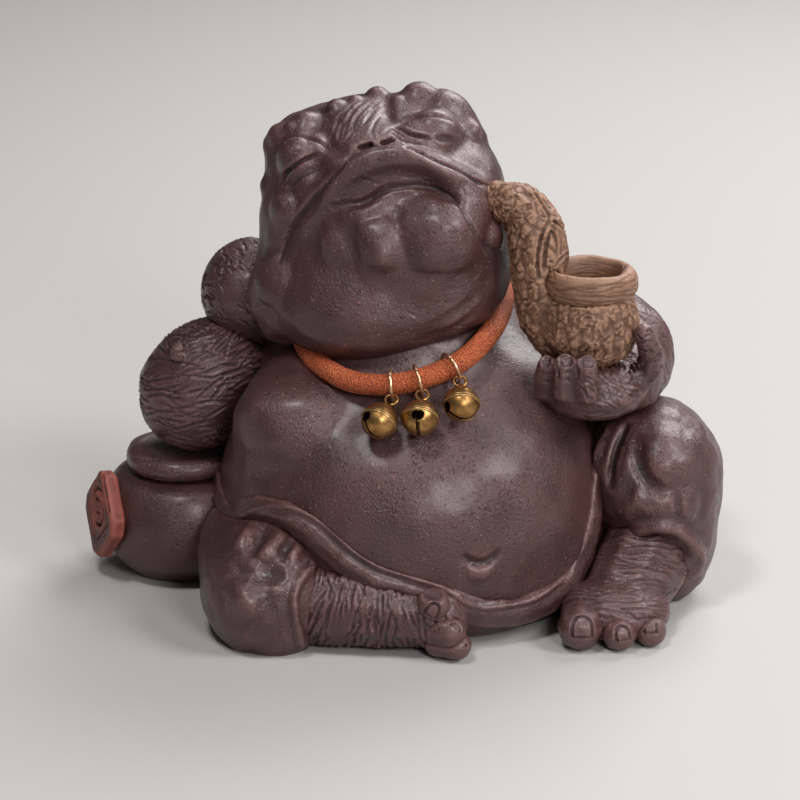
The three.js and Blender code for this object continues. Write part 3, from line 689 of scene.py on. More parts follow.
headMarks = {
    "mouth": [(278, 264), (286, 242), (298, 219), (316, 197), (331, 180), (341, 168), (351, 157),
              (364, 150.5), (379, 146), (394, 145)],
    "mouthRight": [(404, 147), (416, 151), (427, 156), (440, 163), (458, 170), (475, 181), (490, 189)],
    "lipFoot": [(331, 208), (344, 205), (360, 203), (373, 197), (384, 191), (399, 187), (417, 186),
                (433, 188), (446, 194), (457, 203), (466, 216), (475, 233), (486, 248), (500, 250)],
    "lipHollow": [(340, 203), (352, 194), (366, 187), (381, 181), (396, 178), (413, 178), (428, 182),
                  (441, 191), (453, 206)],
    "lipCrest": [(320, 208), (334, 186), (350, 170), (372, 158), (394, 154), (416, 159), (438, 170),
                 (461, 185), (479, 204), (489, 224)],
    "lipEnd": (494, 236),
    "chinLobe": (436, 250),
    "chinRidges": {  # line, width, height
        "left": ([(326, 236), (332, 250), (340, 266)], 4.8, 1.2),
        "middle": ([(366, 222), (375, 244), (385, 266), (394, 286)], 5.6, 3.0),
    },
    "chinValleys": {
        "right": ([(390, 206), (399, 222), (409, 242), (418, 264)], 2.2, 1.3),
        "left": ([(346, 224), (353, 246), (362, 268)], 2.6, 0.9),
    },
    "chinFoot": [(475, 236), (472, 254), (463, 272), (448, 287), (428, 298), (408, 307)],
    "neckFolds": [[(483, 305), (466, 320), (448, 331), (430, 338), (413, 341)],
                  [(478, 294), (462, 308), (446, 318), (430, 325)]],
    "cheekBall": (271, 280),
    "cheekLumps": [(309, 183), (282, 207), (329, 235)],
    "rightLid": (299, 151),
    "rightSlit": [(279, 184), (284, 175), (294, 166), (306, 159), (318, 154)],
    "rightLidTop": [(276, 147), (284, 140), (298, 136), (313, 138), (324, 145), (330, 153)],
    "rightBag": [(287, 190), (298, 179), (312, 169), (323, 165)],
    "leftLid": (433, 126),
    "leftSlit": [(394, 126), (401, 130), (409, 134), (420, 136.5), (432, 138)],
    "leftLidTop": [(393, 128), (408, 120), (421, 116), (434, 115), (446, 118), (456, 124)],
    "leftBag": [(432, 138), (446, 139), (460, 141)],
    "leftWrinkles": [[(391, 132), (398, 138), (409, 142), (423, 144)], [(391, 128), (399, 134), (410, 138)]],
    "nostrils": [[(360, 149), (365, 147), (370, 145)], [(383, 142), (387, 140.5), (391, 139)]],
    "brow": {(417, 94): 20, (335, 109): 13, (377, 95): 14, (305, 121): 21, (277, 133): 17, (472, 132): 14,
             (447, 106): 26, (291, 128): 9, (355, 104): 10, (398, 104): 8},
    "crownSwells": [(398, 101), (441, 101), (352, 108), (472, 122)],
    "browValleys": [[(322, 124), (327, 135), (330, 147), (336, 152), (349, 148)],
                    [(386, 100), (389, 114), (391, 124)], [(320, 118), (315, 129), (304, 136)]],
    "browStrokes": [[(365, 101), (355, 109), (349, 116), (345, 126)],
                    [(373, 102), (363, 110), (355, 119), (351, 130)],
                    [(360, 100), (351, 106), (344, 114), (340, 123)],
                    [(352, 104), (342, 113), (336, 122), (334, 132)],
                    [(380, 107), (372, 112), (366, 120), (362, 129)],
                    [(345, 115), (337, 123), (332, 132), (331, 141)],
                    [(384, 112), (377, 119), (372, 128), (370, 136)], [(357, 128), (350, 134), (346, 141)],
                    [(382, 101), (376, 104), (369, 110)], [(341, 128), (338, 135), (338, 142)]],
}


def insidePixels(outline):
    # a test for points that the camera sees inside an outline
    def test(place, normal):
        ray = place * mm - eye
        if normal.dot(ray) > 0:
            return False
        depth = ray.dot(forward)
        x = view["frameSide"] / 2 + view["focal"] * ray.x / depth
        y = view["frameSide"] / 2 - view["focal"] * ray.dot(upward) / depth
        within = False
        for (x1, y1), (x2, y2) in zip(outline, outline[1:] + outline[:1]):
            if (y1 > y) != (y2 > y) and x < (x2 - x1) * (y - y1) / (y2 - y1) + x1:
                within = not within
        return within
    return test


def around(axis):
    # strokes that run round a limb
    return lambda place, normal: normal.cross(Vector(axis)).normalized()


def everywhere(place, normal):
    return True


headWork = {
    # bumps: mark, radius, height, power
    "chinBumps": [("chinLobe", 12.5, 3.9, 2)],
    "lipBumps": [("lipEnd", 3.4, 1.5)],
    "cheekBumps": [("cheekBall", 5, 1.4), ("cheekLumps", 4, 1.3, 1.6), ("rightLid", 5.8, 2.4, 1.4),
                   ("leftLid", 6.4, 2.2, 1.5)],
    "crownBumps": [("crownSwells", 7, 1.1, 2)],
    # grooves, or ridges where the depth is below 0: mark, width, depth, thinning of the ends, lips
    "lip": [("chinFoot", 3.6, 0.7, 0.45), ("lipCrest", 3.4, -1.9, 0.25), ("mouth", 2.4, 0.8, 0.25)],
    "underLip": [("lipHollow", 3.0, 1.6, 0.3), ("lipFoot", 1.5, 1.3, 0.12)],
    "folds": [("browValleys", 1.8, 0.8, 0.3), ("neckFolds", 1.3, 0.35, 0.4, 0.3)],
    "middling": [("mouth", 1.0, 0.5, 0.3), ("mouthRight", 0.9, 0.5, 0.15), ("lipFoot", 0.8, 0.6, 0.2)],
    "fine": [("mouthRight", 0.45, 0.7, 0.1, 0.3), ("rightSlit", 0.55, 1.1, 0.25, 0.2),
             ("rightLidTop", 0.9, 0.7, 0.3), ("rightBag", 0.7, 0.35, 0.3, 0.3),
             ("leftSlit", 0.6, 1.2, 0.25, 0.25), ("leftLidTop", 0.8, 0.5, 0.35),
             ("leftBag", 0.9, 0.35, 0.35, 0.2), ("leftWrinkles", 0.42, 0.3, 0.3, 0.35),
             ("browStrokes", 0.45, 0.28, 0.4, 0.3), ("nostrils", 0.7, 2.2, 0)],
    # combed areas: outline, what the strokes run round, count, length, width, depth, seed, wander
    "combed": [([(335, 136), (333, 119), (351, 110), (384, 112), (386, 134), (355, 145)],
                (0.35, -0.5, 1), 110, 3.4, 0.3, 0.14, 3, 0.3),
               ([(345, 200), (360, 178), (430, 172), (470, 200), (450, 195), (400, 184)],
                (0, -0.3, 1), 90, 4.5, 0.32, 0.16, 4, 0.12),
               ([(420, 300), (480, 262), (500, 290), (470, 330), (415, 345)],
                (0.5, -0.5, 1), 50, 5, 0.34, 0.12, 5, 0.12)],
}


def makeHead():
    head = Clay(["head", "lower_lip", "right_eyelid", "left_eyelid"], grain=0.5, rounds=6, swell=0.45,
                soft=12)
    marks, work = headMarks, headWork
    head.bumps(marks, work["chinBumps"])
    for line, width, height in marks["chinRidges"].values():
        head.stroke(line, width, -height, ends=0.45)
    for line, width, depth in marks["chinValleys"].values():
        head.stroke(line, width, depth, ends=0.4)
    head.grooves(marks, work["lip"])
    head.bumps(marks, work["lipBumps"])
    head.grooves(marks, work["underLip"])
    head.bumps(marks, work["cheekBumps"])
    for spot, size in marks["brow"].items():
        head.dome(spot, size / 5, min(1.6, size / 12), 2)
    head.bumps(marks, work["crownBumps"])
    head.grooves(marks, work["folds"])
    head.write()
    head.remesh(0.375)
    head.smooth(4)
    head.grooves(marks, work["middling"])
    head.write()
    head.smooth(1)
    head.stroke(marks["mouth"], 0.5, 0.6, ends=0.2, sharp=True)
    head.grooves(marks, work["fine"])
    head.write()
    for area, axis, *comb in work["combed"]:
        head.hatch(insidePixels(area), around(axis), *comb)
    head.ripple(6, 0.25, seed=2)
    head.ripple(1.8, 0.06, seed=5)
    head.finish()


makeHead()
print("head modelled")

# Body

bodyMarks = {
    "navel": [(461, 553), (469, 560), (479, 563.5), (490, 561), (501, 549)],
    "navelLip": [(467, 571), (481, 573), (496, 567)],
    "bellyDent": [(498, 494), (507, 511), (510, 529), (507, 543)],
    "breast": (273, 418),
    "breastFoot": [(232, 455), (246, 464), (266, 469), (288, 466), (306, 457), (320, 443)],
    "bandLip": [(237, 520), (250, 509), (267, 504), (288, 505), (302, 509), (320, 520), (337, 536),
                (358, 553), (379, 565), (400, 572), (421, 579), (442, 585), (463, 599), (481, 606),
                (505, 604), (526, 600), (544, 592), (564, 574), (583, 545)],
    "bandGroove": 8,  # pixels below its lip
}

bodyWork = {  # rows as for the head
    "bumps": [("breast", 12, 1.3, 1.6)],
    "folds": [("breastFoot", 5, 1.1, 0.5), ("bellyDent", 4.5, 0.6, 0.5), ("navelLip", 2.4, -0.9, 0.4),
              ("navel", 1.4, 0.7, 0.35)],
    "fine": [("navel", 0.75, 0.8, 0.35)],
}


def makeTorso():
    torso = Clay(["torso"], grain=0.55, rounds=6, swell=0.6, soft=92)
    torso.bumps(bodyMarks, bodyWork["bumps"])
    torso.grooves(bodyMarks, bodyWork["folds"])
    torso.write()
    torso.smooth(2)
    torso.grooves(bodyMarks, bodyWork["fine"])
    torso.write()
    torso.ripple(11, 0.3, seed=1)
    torso.ripple(3, 0.07, seed=8)
    torso.finish()


def makeWaistband():
    band = Clay(["trouser_waistband"], grain=0.36, rounds=12, swell=0.3)
    lip = bodyMarks["bandLip"]
    band.stroke([(x, y + 2) for x, y in lip], 0.8, -0.4, ends=0.1)
    band.stroke([(x, y + bodyMarks["bandGroove"]) for x, y in lip[2:12]], 1.0, 0.4, ends=0.4)
    band.write()
    band.ripple(6, 0.4, seed=4)
    band.ripple(2, 0.12, seed=24)
    band.finish()


makeTorso()
makeWaistband()
print("body modelled")

# Arms

armMarks = {
    "wart": (178, 353),
    "wartCrease": [(171, 352), (173, 346), (179, 343), (185, 346)],
    # strokes: count, length, width, depth, seed, wander
    "upperComb": (420, 3.2, 0.3, 0.34, 11, 0.35),
    "forearmComb": (420, 8, 0.32, 0.32, 12, 0.2),
    "leftComb": (420, 5, 0.3, 0.26, 13, 0.25),
}


def makeArms():
    upper = Clay(["right_upper_arm"], grain=0.3, rounds=8, swell=0.4, soft=8)
    upper.ripple(5, 0.3, seed=3)
    upper.hatch(everywhere, around((0.45, 0.2, 0.85)), *armMarks["upperComb"])
    upper.finish()

    forearm = Clay(["right_forearm"], grain=0.3, rounds=8, swell=0.4, soft=8)
    forearm.ripple(6, 0.35, seed=6)
    forearm.hatch(everywhere, lambda p, n: n.cross(Vector((-0.1 + 0.12 * math.sin(p.x), 0, 1))).normalized(),
                  *armMarks["forearmComb"])
    forearm.dome(armMarks["wart"], 1.8, 0.6, 0.7)
    forearm.stroke(armMarks["wartCrease"], 0.6, 0.6, ends=0.2)
    forearm.write()
    forearm.finish()

    arm = Clay(["left_arm"], grain=0.32, rounds=8, swell=0.35, soft=10)
    arm.ripple(6, 0.3, seed=7)
    arm.hatch(everywhere, around((0.2, 1, 0.1)), *armMarks["leftComb"])
    arm.finish()


handMarks = {
    "nails": {(546, 361): 9, (565.5, 360): 13, (587.5, 361): 14},  # widths
    "nailHeight": 11,
    "knuckles": (12, 19),  # pixels below the middle of a nail
    "gaps": [[(556, 353), (556, 366), (558, 378)], [(577, 352), (577, 366), (578, 379)]],
    "palmArea": [(594, 381), (623, 367), (646, 340), (641, 396), (616, 410), (587, 406)],
    "palmComb": (130, 4.5, 0.3, 0.3, 21, 0.2),  # as for the arms
    "thumbComb": (130, 2.6, 0.28, 0.3, 22, 0.25),
    "wristComb": (120, 4, 0.3, 0.16, 23, 0.3),
}


def nail(clay, middle, width, height, tilt=0, depth=0.38):
    # a nail drawn with a needle: a rounded U, open towards the tip of the finger
    turn = math.radians(tilt)
    outline = [(-0.5, -0.5), (-0.5, 0.2), (-0.3, 0.5), (0.3, 0.5), (0.5, 0.2), (0.5, -0.5)]
    path = []
    for x, y in outline:
        x, y = x * width, -y * height
        path.append((middle[0] + x * math.cos(turn) - y * math.sin(turn),
                     middle[1] + x * math.sin(turn) + y * math.cos(turn)))
    clay.stroke(path, 0.4, depth, lips=0.2, ends=0)
    clay.stroke([path[0], ((path[0][0] + path[-1][0]) / 2, (path[0][1] + path[-1][1]) / 2), path[-1]],
                0.3, depth * 0.7, ends=0)


def makeHand():
    hand = Clay(["left_palm", "left_finger_1", "left_finger_2", "left_finger_3", "left_thumb"],
                grain=0.3, rounds=8, swell=0.3, filled=1.05)
    for line in handMarks["gaps"]:
        hand.stroke(line, 0.55, 0.6, ends=0.3)
    hand.write()
    for (x, y), width in handMarks["nails"].items():
        hand.plate((x, y), width, handMarks["nailHeight"], 0.6)
        for below in handMarks["knuckles"]:
            hand.stroke([(x - width * 0.6, y + below), (x, y + below + 1.5), (x + width * 0.6, y + below)],
                        0.34, 0.3, lips=0.3, ends=0.3)
    hand.write()
    hand.hatch(insidePixels(handMarks["palmArea"]), around((0.7, 0, 0.7)), *handMarks["palmComb"])
    hand.hatch(lambda place, normal: place.x > 40 and place.z > 46, around((0.1, 0.2, -1)),
               *handMarks["thumbComb"])
    hand.hatch(lambda place, normal: place.z < 43, around((0, 1, 0)), *handMarks["wristComb"])
    hand.ripple(3, 0.1, seed=9)
    hand.finish()


makeArms()
makeHand()
print("arms modelled")

# Legs

legMarks = {
    "rightGrooves": {  # line, width, depth
        "first": ([(272, 517), (264, 530), (257, 544), (253, 558)], 1.6, 1.2),
        "second": ([(301, 525), (294, 537), (287, 550), (281, 562)], 1.5, 1.2),
        "hollow": ([(256, 569), (270, 574), (286, 572)], 3.4, 1.4),
        "round": ([(232, 562), (247, 578), (261, 600), (267, 622)], 2.8, 1.0),
    },
    "rightRidges": [[(284, 528), (274, 544), (262, 560)], [(305, 535), (296, 549), (287, 562)],
                    [(259, 517), (247, 534), (237, 553)]],
    "rightBump": (245, 600),
    "rightHem": [(328, 557), (313, 566), (301, 578), (294, 595), (295, 614), (299, 634), (303, 652)],
    "rightNotch": [(310, 563), (319, 560), (328, 561)],
    "kneecap": (671, 452),
    "leftGrooves": {
        "crescent": ([(644, 434), (637, 452), (640, 470), (652, 486), (668, 492), (680, 484)], 2.2, 1.0),
        "below": ([(675, 492), (678, 506), (676, 518)], 1.3, 0.9),
        "outer": ([(698, 470), (703, 498), (699, 526)], 2.2, 0.6),
        "inner": ([(631, 478), (627, 496), (622, 512)], 2.2, 0.6),
    },
    "leftLumps": [(633, 507), (689, 504), (660, 508)],
    "leftHemRoll": [(604, 538), (620, 534), (640, 528), (660, 526), (678, 530), (692, 543), (699, 560),
                    (697, 578)],
    "bandEdge": [(628, 422), (622, 434), (615, 450), (611, 468), (610, 490)],
    "bandRidge": [(612, 424), (604, 440), (598, 456), (595, 478), (597, 500), (601, 522)],
    "rightNails": [(433, 610), (459, 623), (466, 639)],
    "leftNails": [(582, 627), (622, 633), (650, 626)],
    "shinComb": (420, 5.5, 0.32, 0.36, 31, 0.16),  # as for the arms
    "footComb": (360, 7, 0.28, 0.2, 32, 0.16),
}

legWork = {  # rows as for the head
    "rightBumps": [("rightBump", 5.4, 1.7, 2)],
    "rightRidges": [("rightRidges", 2.2, -1.1, 0.4)],
    "rightHem": [("rightHem", 1.3, -0.9, 0.1)],
    "rightFine": [("rightNotch", 0.7, 0.9, 0.2, 0.3)],
    "leftBumps": [("kneecap", 7, 1.2, 1.3), ("leftLumps", 4.6, 0.9, 2)],
    "leftFolds": [("leftHemRoll", 2.5, -1.8, 0.15), ("bandRidge", 1.7, -1.0, 0.3),
                  ("bandEdge", 1.4, 1.2, 0.3)],
    "leftFine": [("bandEdge", 0.7, 0.5, 0.35, 0.2)],
}


def makeLegs():
    right = Clay(["right_trouser_leg"], grain=0.34, rounds=5, swell=0.4, soft=8)
    right.bumps(legMarks, legWork["rightBumps"])
    right.grooves(legMarks, legWork["rightRidges"])
    for line, width, depth in legMarks["rightGrooves"].values():
        right.stroke(line, width, depth, ends=0.5)
    right.grooves(legMarks, legWork["rightHem"])
    right.write()
    right.smooth(2)
    for line, width, depth in legMarks["rightGrooves"].values():
        if width < 2:
            right.stroke(line, 0.6, 0.35, ends=0.5)
    right.grooves(legMarks, legWork["rightFine"])
    right.write()
    right.ripple(5, 0.4, seed=12)
    right.ripple(1.6, 0.12, seed=25)
    right.finish()

    left = Clay(["left_trouser_leg"], grain=0.38, rounds=6, swell=0.4, soft=12)
    left.bumps(legMarks, legWork["leftBumps"])
    for line, width, depth in legMarks["leftGrooves"].values():
        left.stroke(line, width, depth, ends=0.45)
    left.grooves(legMarks, legWork["leftFolds"])
    left.write()
    left.smooth(3)
    left.grooves(legMarks, legWork["leftFine"])
    left.write()
    left.ripple(6, 0.45, seed=13)
    left.ripple(1.8, 0.12, seed=26)
    left.finish()

    shin = Clay(["right_shin"], grain=0.3, rounds=5, swell=0.45, soft=10)
    shin.ripple(4, 0.25, seed=14)
    shin.hatch(everywhere, lambda p, n: n.cross(Vector((1, 0, 0.1 + 0.035 * (p.x + 6)))).normalized(),
               *legMarks["shinComb"])
    shin.finish()

    foot = Clay(["left_foot", "left_shin"], grain=0.3, rounds=5, swell=0.5, soft=14)
    foot.ripple(4, 0.25, seed=15)
    foot.hatch(lambda place, normal: place.z > 4, around((0.2, 0.6, 1)), *legMarks["footComb"])
    foot.finish()


def makeToes():
    sides = (("right", legMarks["rightNails"], (30, 35, 40), (13, 11, 10)),
             ("left", legMarks["leftNails"], (0, -12, 0), (20, 14, 13)))
    for side, nails, tilts, widths in sides:
        for i, (middle, tilt, width) in enumerate(zip(nails, tilts, widths), 1):
            name = f"{side}_toe_{i}"
            toe = Clay([name], grain=0.24, rounds=4, swell=0.5, soft=8)
            toe.ripple(3, 0.12, seed=20 + i)
            nail(toe, middle, width, width * 1.05, tilt, 0.6)
            if width == max(widths):
                toe.dome((middle[0], middle[1] - width * 1.35), 2.4, -0.9)  # the back of the big toe
            toe.write()
            toe.finish()


makeLegs()
makeToes()
print("legs modelled")

# Wine jar

jar = {
    "middle": (-43.4, 0),
    "foot": 11,
    "belly": 16.2,
    "bellyHeight": 11.5,
    "neck": 9.6,
    "height": 20,
    "rimMiddle": 8.6,
    "rimWide": 5.2,
    "rimTall": 4.7,
    "steps": 128,
    "rimComb": (60, 7, 0.35, 0.08, 33, 0.1),  # as for the arms
}


def makeJar():
    wall = [(0, 0), (jar["foot"] - 0.6, 0), (jar["foot"] + 0.2, 0.7)]
    bulge = throughPoints([(jar["foot"] + 0.2, 0.7, 0), (jar["belly"] * 0.93, jar["bellyHeight"] * 0.42, 0),
                           (jar["belly"], jar["bellyHeight"], 0),
                           (jar["belly"] * 0.95, jar["bellyHeight"] * 1.35, 0),
                           (jar["belly"] * 0.82, jar["bellyHeight"] * 1.66, 0),
                           (jar["neck"], jar["height"] + 0.2, 0)], 0.8)
    wall += [(p.x, p.y) for p in bulge[1:]] + [(0, jar["height"] + 0.2)]
    pot = placed(turned("wine_jar", wall, jar["steps"]), *jar["middle"], 0)
    body = Clay(["wine_jar"], grain=0.5, rounds=4, piece=pot)
    body.ripple(10, 0.35, seed=16)
    body.ripple(3, 0.06, seed=17)
    body.finish()

    middle = jar["height"] + 0.3 + jar["rimTall"] / 2
    roll = roundArc(jar["rimWide"] / 2, -90, 90, 16, (jar["rimMiddle"], middle),
                    jar["rimTall"] / jar["rimWide"])
    profile = [(0, middle - jar["rimTall"] / 2), *roll, (5, middle + 1.6), (0, middle + 1.4)]
    ring = placed(turned("jar_rim", profile, jar["steps"]), *jar["middle"], 0)
    rim = Clay(["jar_rim"], grain=0.36, rounds=4, piece=ring)
    rim.ripple(6, 0.5, (1, 1, 2), seed=18)
    rim.hatch(everywhere, around((0, 0, 1)), *jar["rimComb"])
    rim.finish()


label = {
    "bearing": labelBearing,
    "tilt": 6,
    "reach": 17.6,  # from the jar's upright axis to the face
    "height": 12.5,
    "coin": 3.7,  # radius of the carved coin
    "hole": 1.3,  # half the side of the coin's square hole
    "edge": 5.3,  # from the middle to the carved border
    "dots": 2.45,  # from the middle to the four raised dots
}


def makeLabel():
    tablet = Clay(["jar_label"], grain=0.22, rounds=5, swell=0.1)
    bearing, tilt = math.radians(label["bearing"]), math.radians(label["tilt"])
    level = Vector((math.sin(bearing), -math.cos(bearing), 0))
    outward = level * math.cos(tilt) + Vector((0, 0, math.sin(tilt)))
    aside = Vector((math.cos(bearing), math.sin(bearing), 0))
    rise = outward.cross(aside) * -1
    middle = Vector((*jar["middle"], label["height"])) + outward * label["reach"]

    def carve(points, width, depth):
        tablet.stroke([middle + aside * x + rise * y for x, y in points], width, depth, lips=0.2, ends=0)

    carve(roundArc(label["coin"], 0, 360, 24), 0.6, 0.8)
    corners = [(1, 1), (-1, 1), (-1, -1), (1, -1), (1, 1)]
    for (x1, y1), (x2, y2) in zip(corners, corners[1:]):
        side = label["hole"]
        carve([(x1 * side, y1 * side), (x2 * side, y2 * side)], 0.5, 0.8)
    for turn in range(4):
        angle = math.radians(45 + 90 * turn)
        ahead = Vector((math.cos(angle), math.sin(angle)))
        beside = Vector((-math.sin(angle), math.cos(angle)))
        ends = [ahead * label["edge"] + beside * s * label["edge"] * 0.7 for s in (-1, 1)]
        carve([tuple(e) for e in ends], 0.45, 0.45)
    for turn in range(4):
        angle = math.radians(90 * turn)
        spot = Vector((math.cos(angle), math.sin(angle))) * label["dots"]
        tablet.dome(middle + aside * spot.x + rise * spot.y, 0.6, 0.35)
    tablet.write()
    tablet.ripple(2.5, 0.12, seed=19)
    tablet.finish("red_clay")


makeJar()
makeLabel()
print("jar modelled")

# Pipe

pipe = {
    "bowlMiddle": (33.2, -22, 49.4),
    "rimHeight": 15.6,  # of the middle of the rim over the foot of the bowl
    "rimMiddle": 7,
    "rimWide": 3.3,
    "rimTall": 5.6,
    "bore": 6.4,  # the pinched skin stops at this radius
    "boreFoot": 4,  # and this far above the foot of the bowl
    "comb": (260, 2.4, 0.3, 0.26, 41, 1.5),  # as for the arms
    "rimComb": (220, 6, 0.26, 0.08, 42, 0.08),
}

pipeMarks = {
    "toolLines": [[(540, 280), (537, 268), (539, 246), (545, 226), (550, 221)],
                  [(544, 272), (545, 255), (548, 238), (551, 229), (556, 240), (556, 256)],
                  [(550, 274), (556, 263), (564, 255), (574, 251)], [(530, 187), (541, 203), (550, 217)],
                  [(537, 186), (549, 200), (556, 214)], [(553, 220), (561, 228), (569, 237)]],
}


def makePipe():
    body = Clay(["pipe"], grain=0.27, rounds=10, swell=0.3, soft=6)
    x, y, z = pipe["bowlMiddle"]

    def rough(size, height, seed, cells=True):
        # the pinched skin stops short of the bore
        before = body.spots.copy()
        body.ripple(size, height, (1, 1, 1.25), cells, seed)
        away = np.hypot(before[:, 0] - x * mm, before[:, 1] - y * mm) / mm
        inBore = (away < pipe["bore"]) & (before[:, 2] > (z + pipe["boreFoot"]) * mm)
        body.spots[inBore] = before[inBore]
        body.write()

    rough(5, 0.4, 1.3, False)
    rough(2.1, 0.27, 2.1)
    rough(1.1, 0.15, 4.1)
    for line in pipeMarks["toolLines"]:
        body.stroke(line, 0.45, 0.55, lips=0.5, ends=0.2)
    body.write()
    body.hatch(lambda p, n: (p - Vector((x, y, z + 6))).length > 8.5,
               lambda p, n: n.orthogonal().normalized(), *pipe["comb"])
    body.finish("tan_clay")

    profile = roundSection(pipe["rimWide"] / 2, 28, (pipe["rimMiddle"], pipe["rimHeight"]),
                           pipe["rimTall"] / pipe["rimWide"])
    ring = placed(turned("pipe_rim", profile, 96), *pipe["bowlMiddle"])
    rim = Clay(["pipe_rim"], grain=0.26, rounds=3, piece=ring)
    rim.ripple(5, 0.4, (1, 1, 1.6), seed=22)
    rim.hatch(everywhere, around((0, 0, 1)), *pipe["rimComb"])
    rim.finish("tan_clay")


makePipe()
print("pipe modelled")

# Collar

collar = {
    "route": [(0.6, 13, 58.4), (-12, 9, 56.5), (-19, -2, 53), (-20, -10, 50.8), (-18.1, -17.5, 48.9),
              (-15.4, -23, 48.4), (-10.8, -27.6, 47.6), (-6.1, -29.7, 47.6), (-1.7, -30.2, 48),
              (2.8, -29.7, 48.9), (7.4, -28.2, 50.3), (11.2, -25.4, 51.9), (14.3, -21, 53.7),
              (16.5, -15.5, 55.1), (17.8, -8.5, 56.9), (17.6, -1, 58.2), (12.5, 9, 59), (1.8, 13, 58.5)],
    "radius": 2.05,
    "sides": 40,
    "step": 0.35,
    "lumps": ((2.2, 0.05), (0.55, 0.035)),  # size and height
    "sink": 0.04,  # keeps the lumps within the radius
}


def makeCord():
    line = throughPoints(collar["route"], collar["step"])
    shape = bmesh.new()
    rings = []
    across = Vector((0, 0, 1))
    for i, middle in enumerate(line):
        along = (line[min(i + 1, len(line) - 1)] - line[max(i - 1, 0)]).normalized()
        across = (across - along * across.dot(along)).normalized()
        beside = along.cross(across)
        ring = []
        for side in range(collar["sides"]):
            turn = 2 * math.pi * side / collar["sides"]
            out = across * math.cos(turn) + beside * math.sin(turn)
            spot = middle + out * collar["radius"]
            lump = sum(noise.noise(spot / size) * height for size, height in collar["lumps"])
            ring.append(shape.verts.new((spot + out * (lump - collar["sink"])) * mm))
        rings.append(ring)
    for first, second in zip(rings, rings[1:]):
        for side in range(collar["sides"]):
            beside = (side + 1) % collar["sides"]
            shape.faces.new((first[side], first[beside], second[beside], second[side]))
    shape.faces.new(reversed(rings[0]))
    shape.faces.new(rings[-1])
    bmesh.ops.recalc_face_normals(shape, faces=shape.faces)
    cord = newPiece("collar_cord", shape)
    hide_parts("collar_cord")
    finishPiece(cord, figure, "leather")


bell = {
    "ringRadius": 2.95,
    "ringWire": 0.32,
    "ringGap": 3.5,  # degrees left open in the ring
    "radius": 3.33,
    "wall": 0.4,
    "flange": 0.15,
    "seam": 0.1,
    "eyeRadius": 1.15,
    "eyeWire": 0.28,
    "slot": 0.7,
    "punch": 0.855,  # radius of the punch that rounds the slot's ends
    "slotAngle": 65,
    "pea": 1.3,
    "crown": 78,  # degrees up to the hole for the rivet
    "turns": (-40, 0, -70),  # of each bell's slot from the front
    "steps": 72,
    "below": 5.46,  # from the swing's axis down to the middle of the bell
}


def cutter(name, place, size, turn=None):
    # a box or, with two numbers, an upright round bar
    if len(size) == 3:
        bpy.ops.mesh.primitive_cube_add(size=1, location=place)
        bpy.context.object.scale = size
    else:
        bpy.ops.mesh.primitive_cylinder_add(vertices=32, radius=size[0], depth=size[1], location=place,
                                            rotation=turn)
    tool = bpy.context.object
    tool.name = name
    bpy.ops.object.transform_apply(location=True, rotation=True, scale=True)
    tool.select_set(False)
    return tool


def cutBy(piece, tool):
    cut = piece.modifiers.new("Cut", "BOOLEAN")
    cut.operation = "DIFFERENCE"
    cut.object = tool
    cut.solver = "EXACT"
    applyAll(piece)
    bpy.data.objects.remove(tool)


def markPaintedLight(piece, height):
    # brass is darkest beside the seam and in the slot: painted shade there, inside the bell, on the rivet and
    # on the pea; the flange's edge gets a painted highlight
    stored = piece.data.attributes.new("relief", "FLOAT", "POINT")
    stored.data.foreach_set("value", [height(v.co / mm) for v in piece.data.vertices])


def flangeProfile(start, turn):
    # the folded rim from its root to its flat face, up on the cap and down on the cup
    radius, fold, corner = bell["radius"], bell["flange"], 0.05
    edge = radius + fold
    steps = [(radius + 0.02, 2.2 * fold), (edge - corner, 2 * fold), (edge, 1.6 * fold), (edge, corner),
             (edge - corner, 0), (radius - bell["wall"], 0)]
    return [(out, start + turn * rise) for out, rise in steps]


def cutSlot(cup):
    radius, angle = bell["radius"], math.radians(bell["slotAngle"])
    size = (bell["slot"] * mm, 2 * radius * math.sin(angle) * mm, 2 * radius * math.cos(angle) * mm * 1.2)
    cutBy(cup, cutter("slot", (0, 0, -radius * mm), size))
    for side in (-1, 1):
        aim = Vector((0, side * math.sin(angle), -math.cos(angle)))
        for shift in (-0.35, 0.35):  # two punches side by side make each round end
            middle = aim * radius + Vector((shift, 0, 0))
            cutBy(cup, cutter("hole", middle * mm, (bell["punch"] * mm, 3 * mm),
                              aim.to_track_quat("Z", "Y").to_euler()))


def makeEye(name, top, inside):
    # a wire loop on a rivet through the crown
    wire = bell["eyeWire"]
    height = top + 2 * wire + bell["eyeRadius"]
    loop = turned(f"{name}_loop", roundSection(wire, 14, (bell["eyeRadius"], 0)), 48)
    loop.data.transform(Matrix.Translation((0, 0, height * mm)) @ Matrix.Rotation(math.pi / 2, 4, "X"))
    head = inside - bell["wall"]
    rivet = turned("rivet", [(0, head - 0.35), (0.62, head - 0.3), (0.7, head - 0.15), (0.7, head),
                             (wire, head), (wire, top), (1.1, top - 0.16), (0.98, top + 0.02),
                             (0.7, top + 0.2), (0.48, top + 0.45), (0.36, top + 0.75), (0, top + 0.78)], 32)
    rivet.select_set(True)
    pick(loop)
    bpy.ops.object.join()
    loop.select_set(False)
    return loop


def makePea(name, inside):
    radius, gap = bell["pea"] * mm, 0.3
    place = Vector((0, 0, bell["pea"] + gap - inside)) * mm
    bpy.ops.mesh.primitive_uv_sphere_add(segments=32, ring_count=20, radius=radius, location=place)
    pea = bpy.context.object
    pea.name = f"{name}_pea"
    bpy.ops.object.transform_apply(location=True, rotation=True, scale=True)
    pea.select_set(False)
    for vertex in pea.data.vertices:
        vertex.co += (vertex.co - place) * (noise.noise(vertex.co / (0.7 * mm)) * 0.05 - 0.03)
    return pea


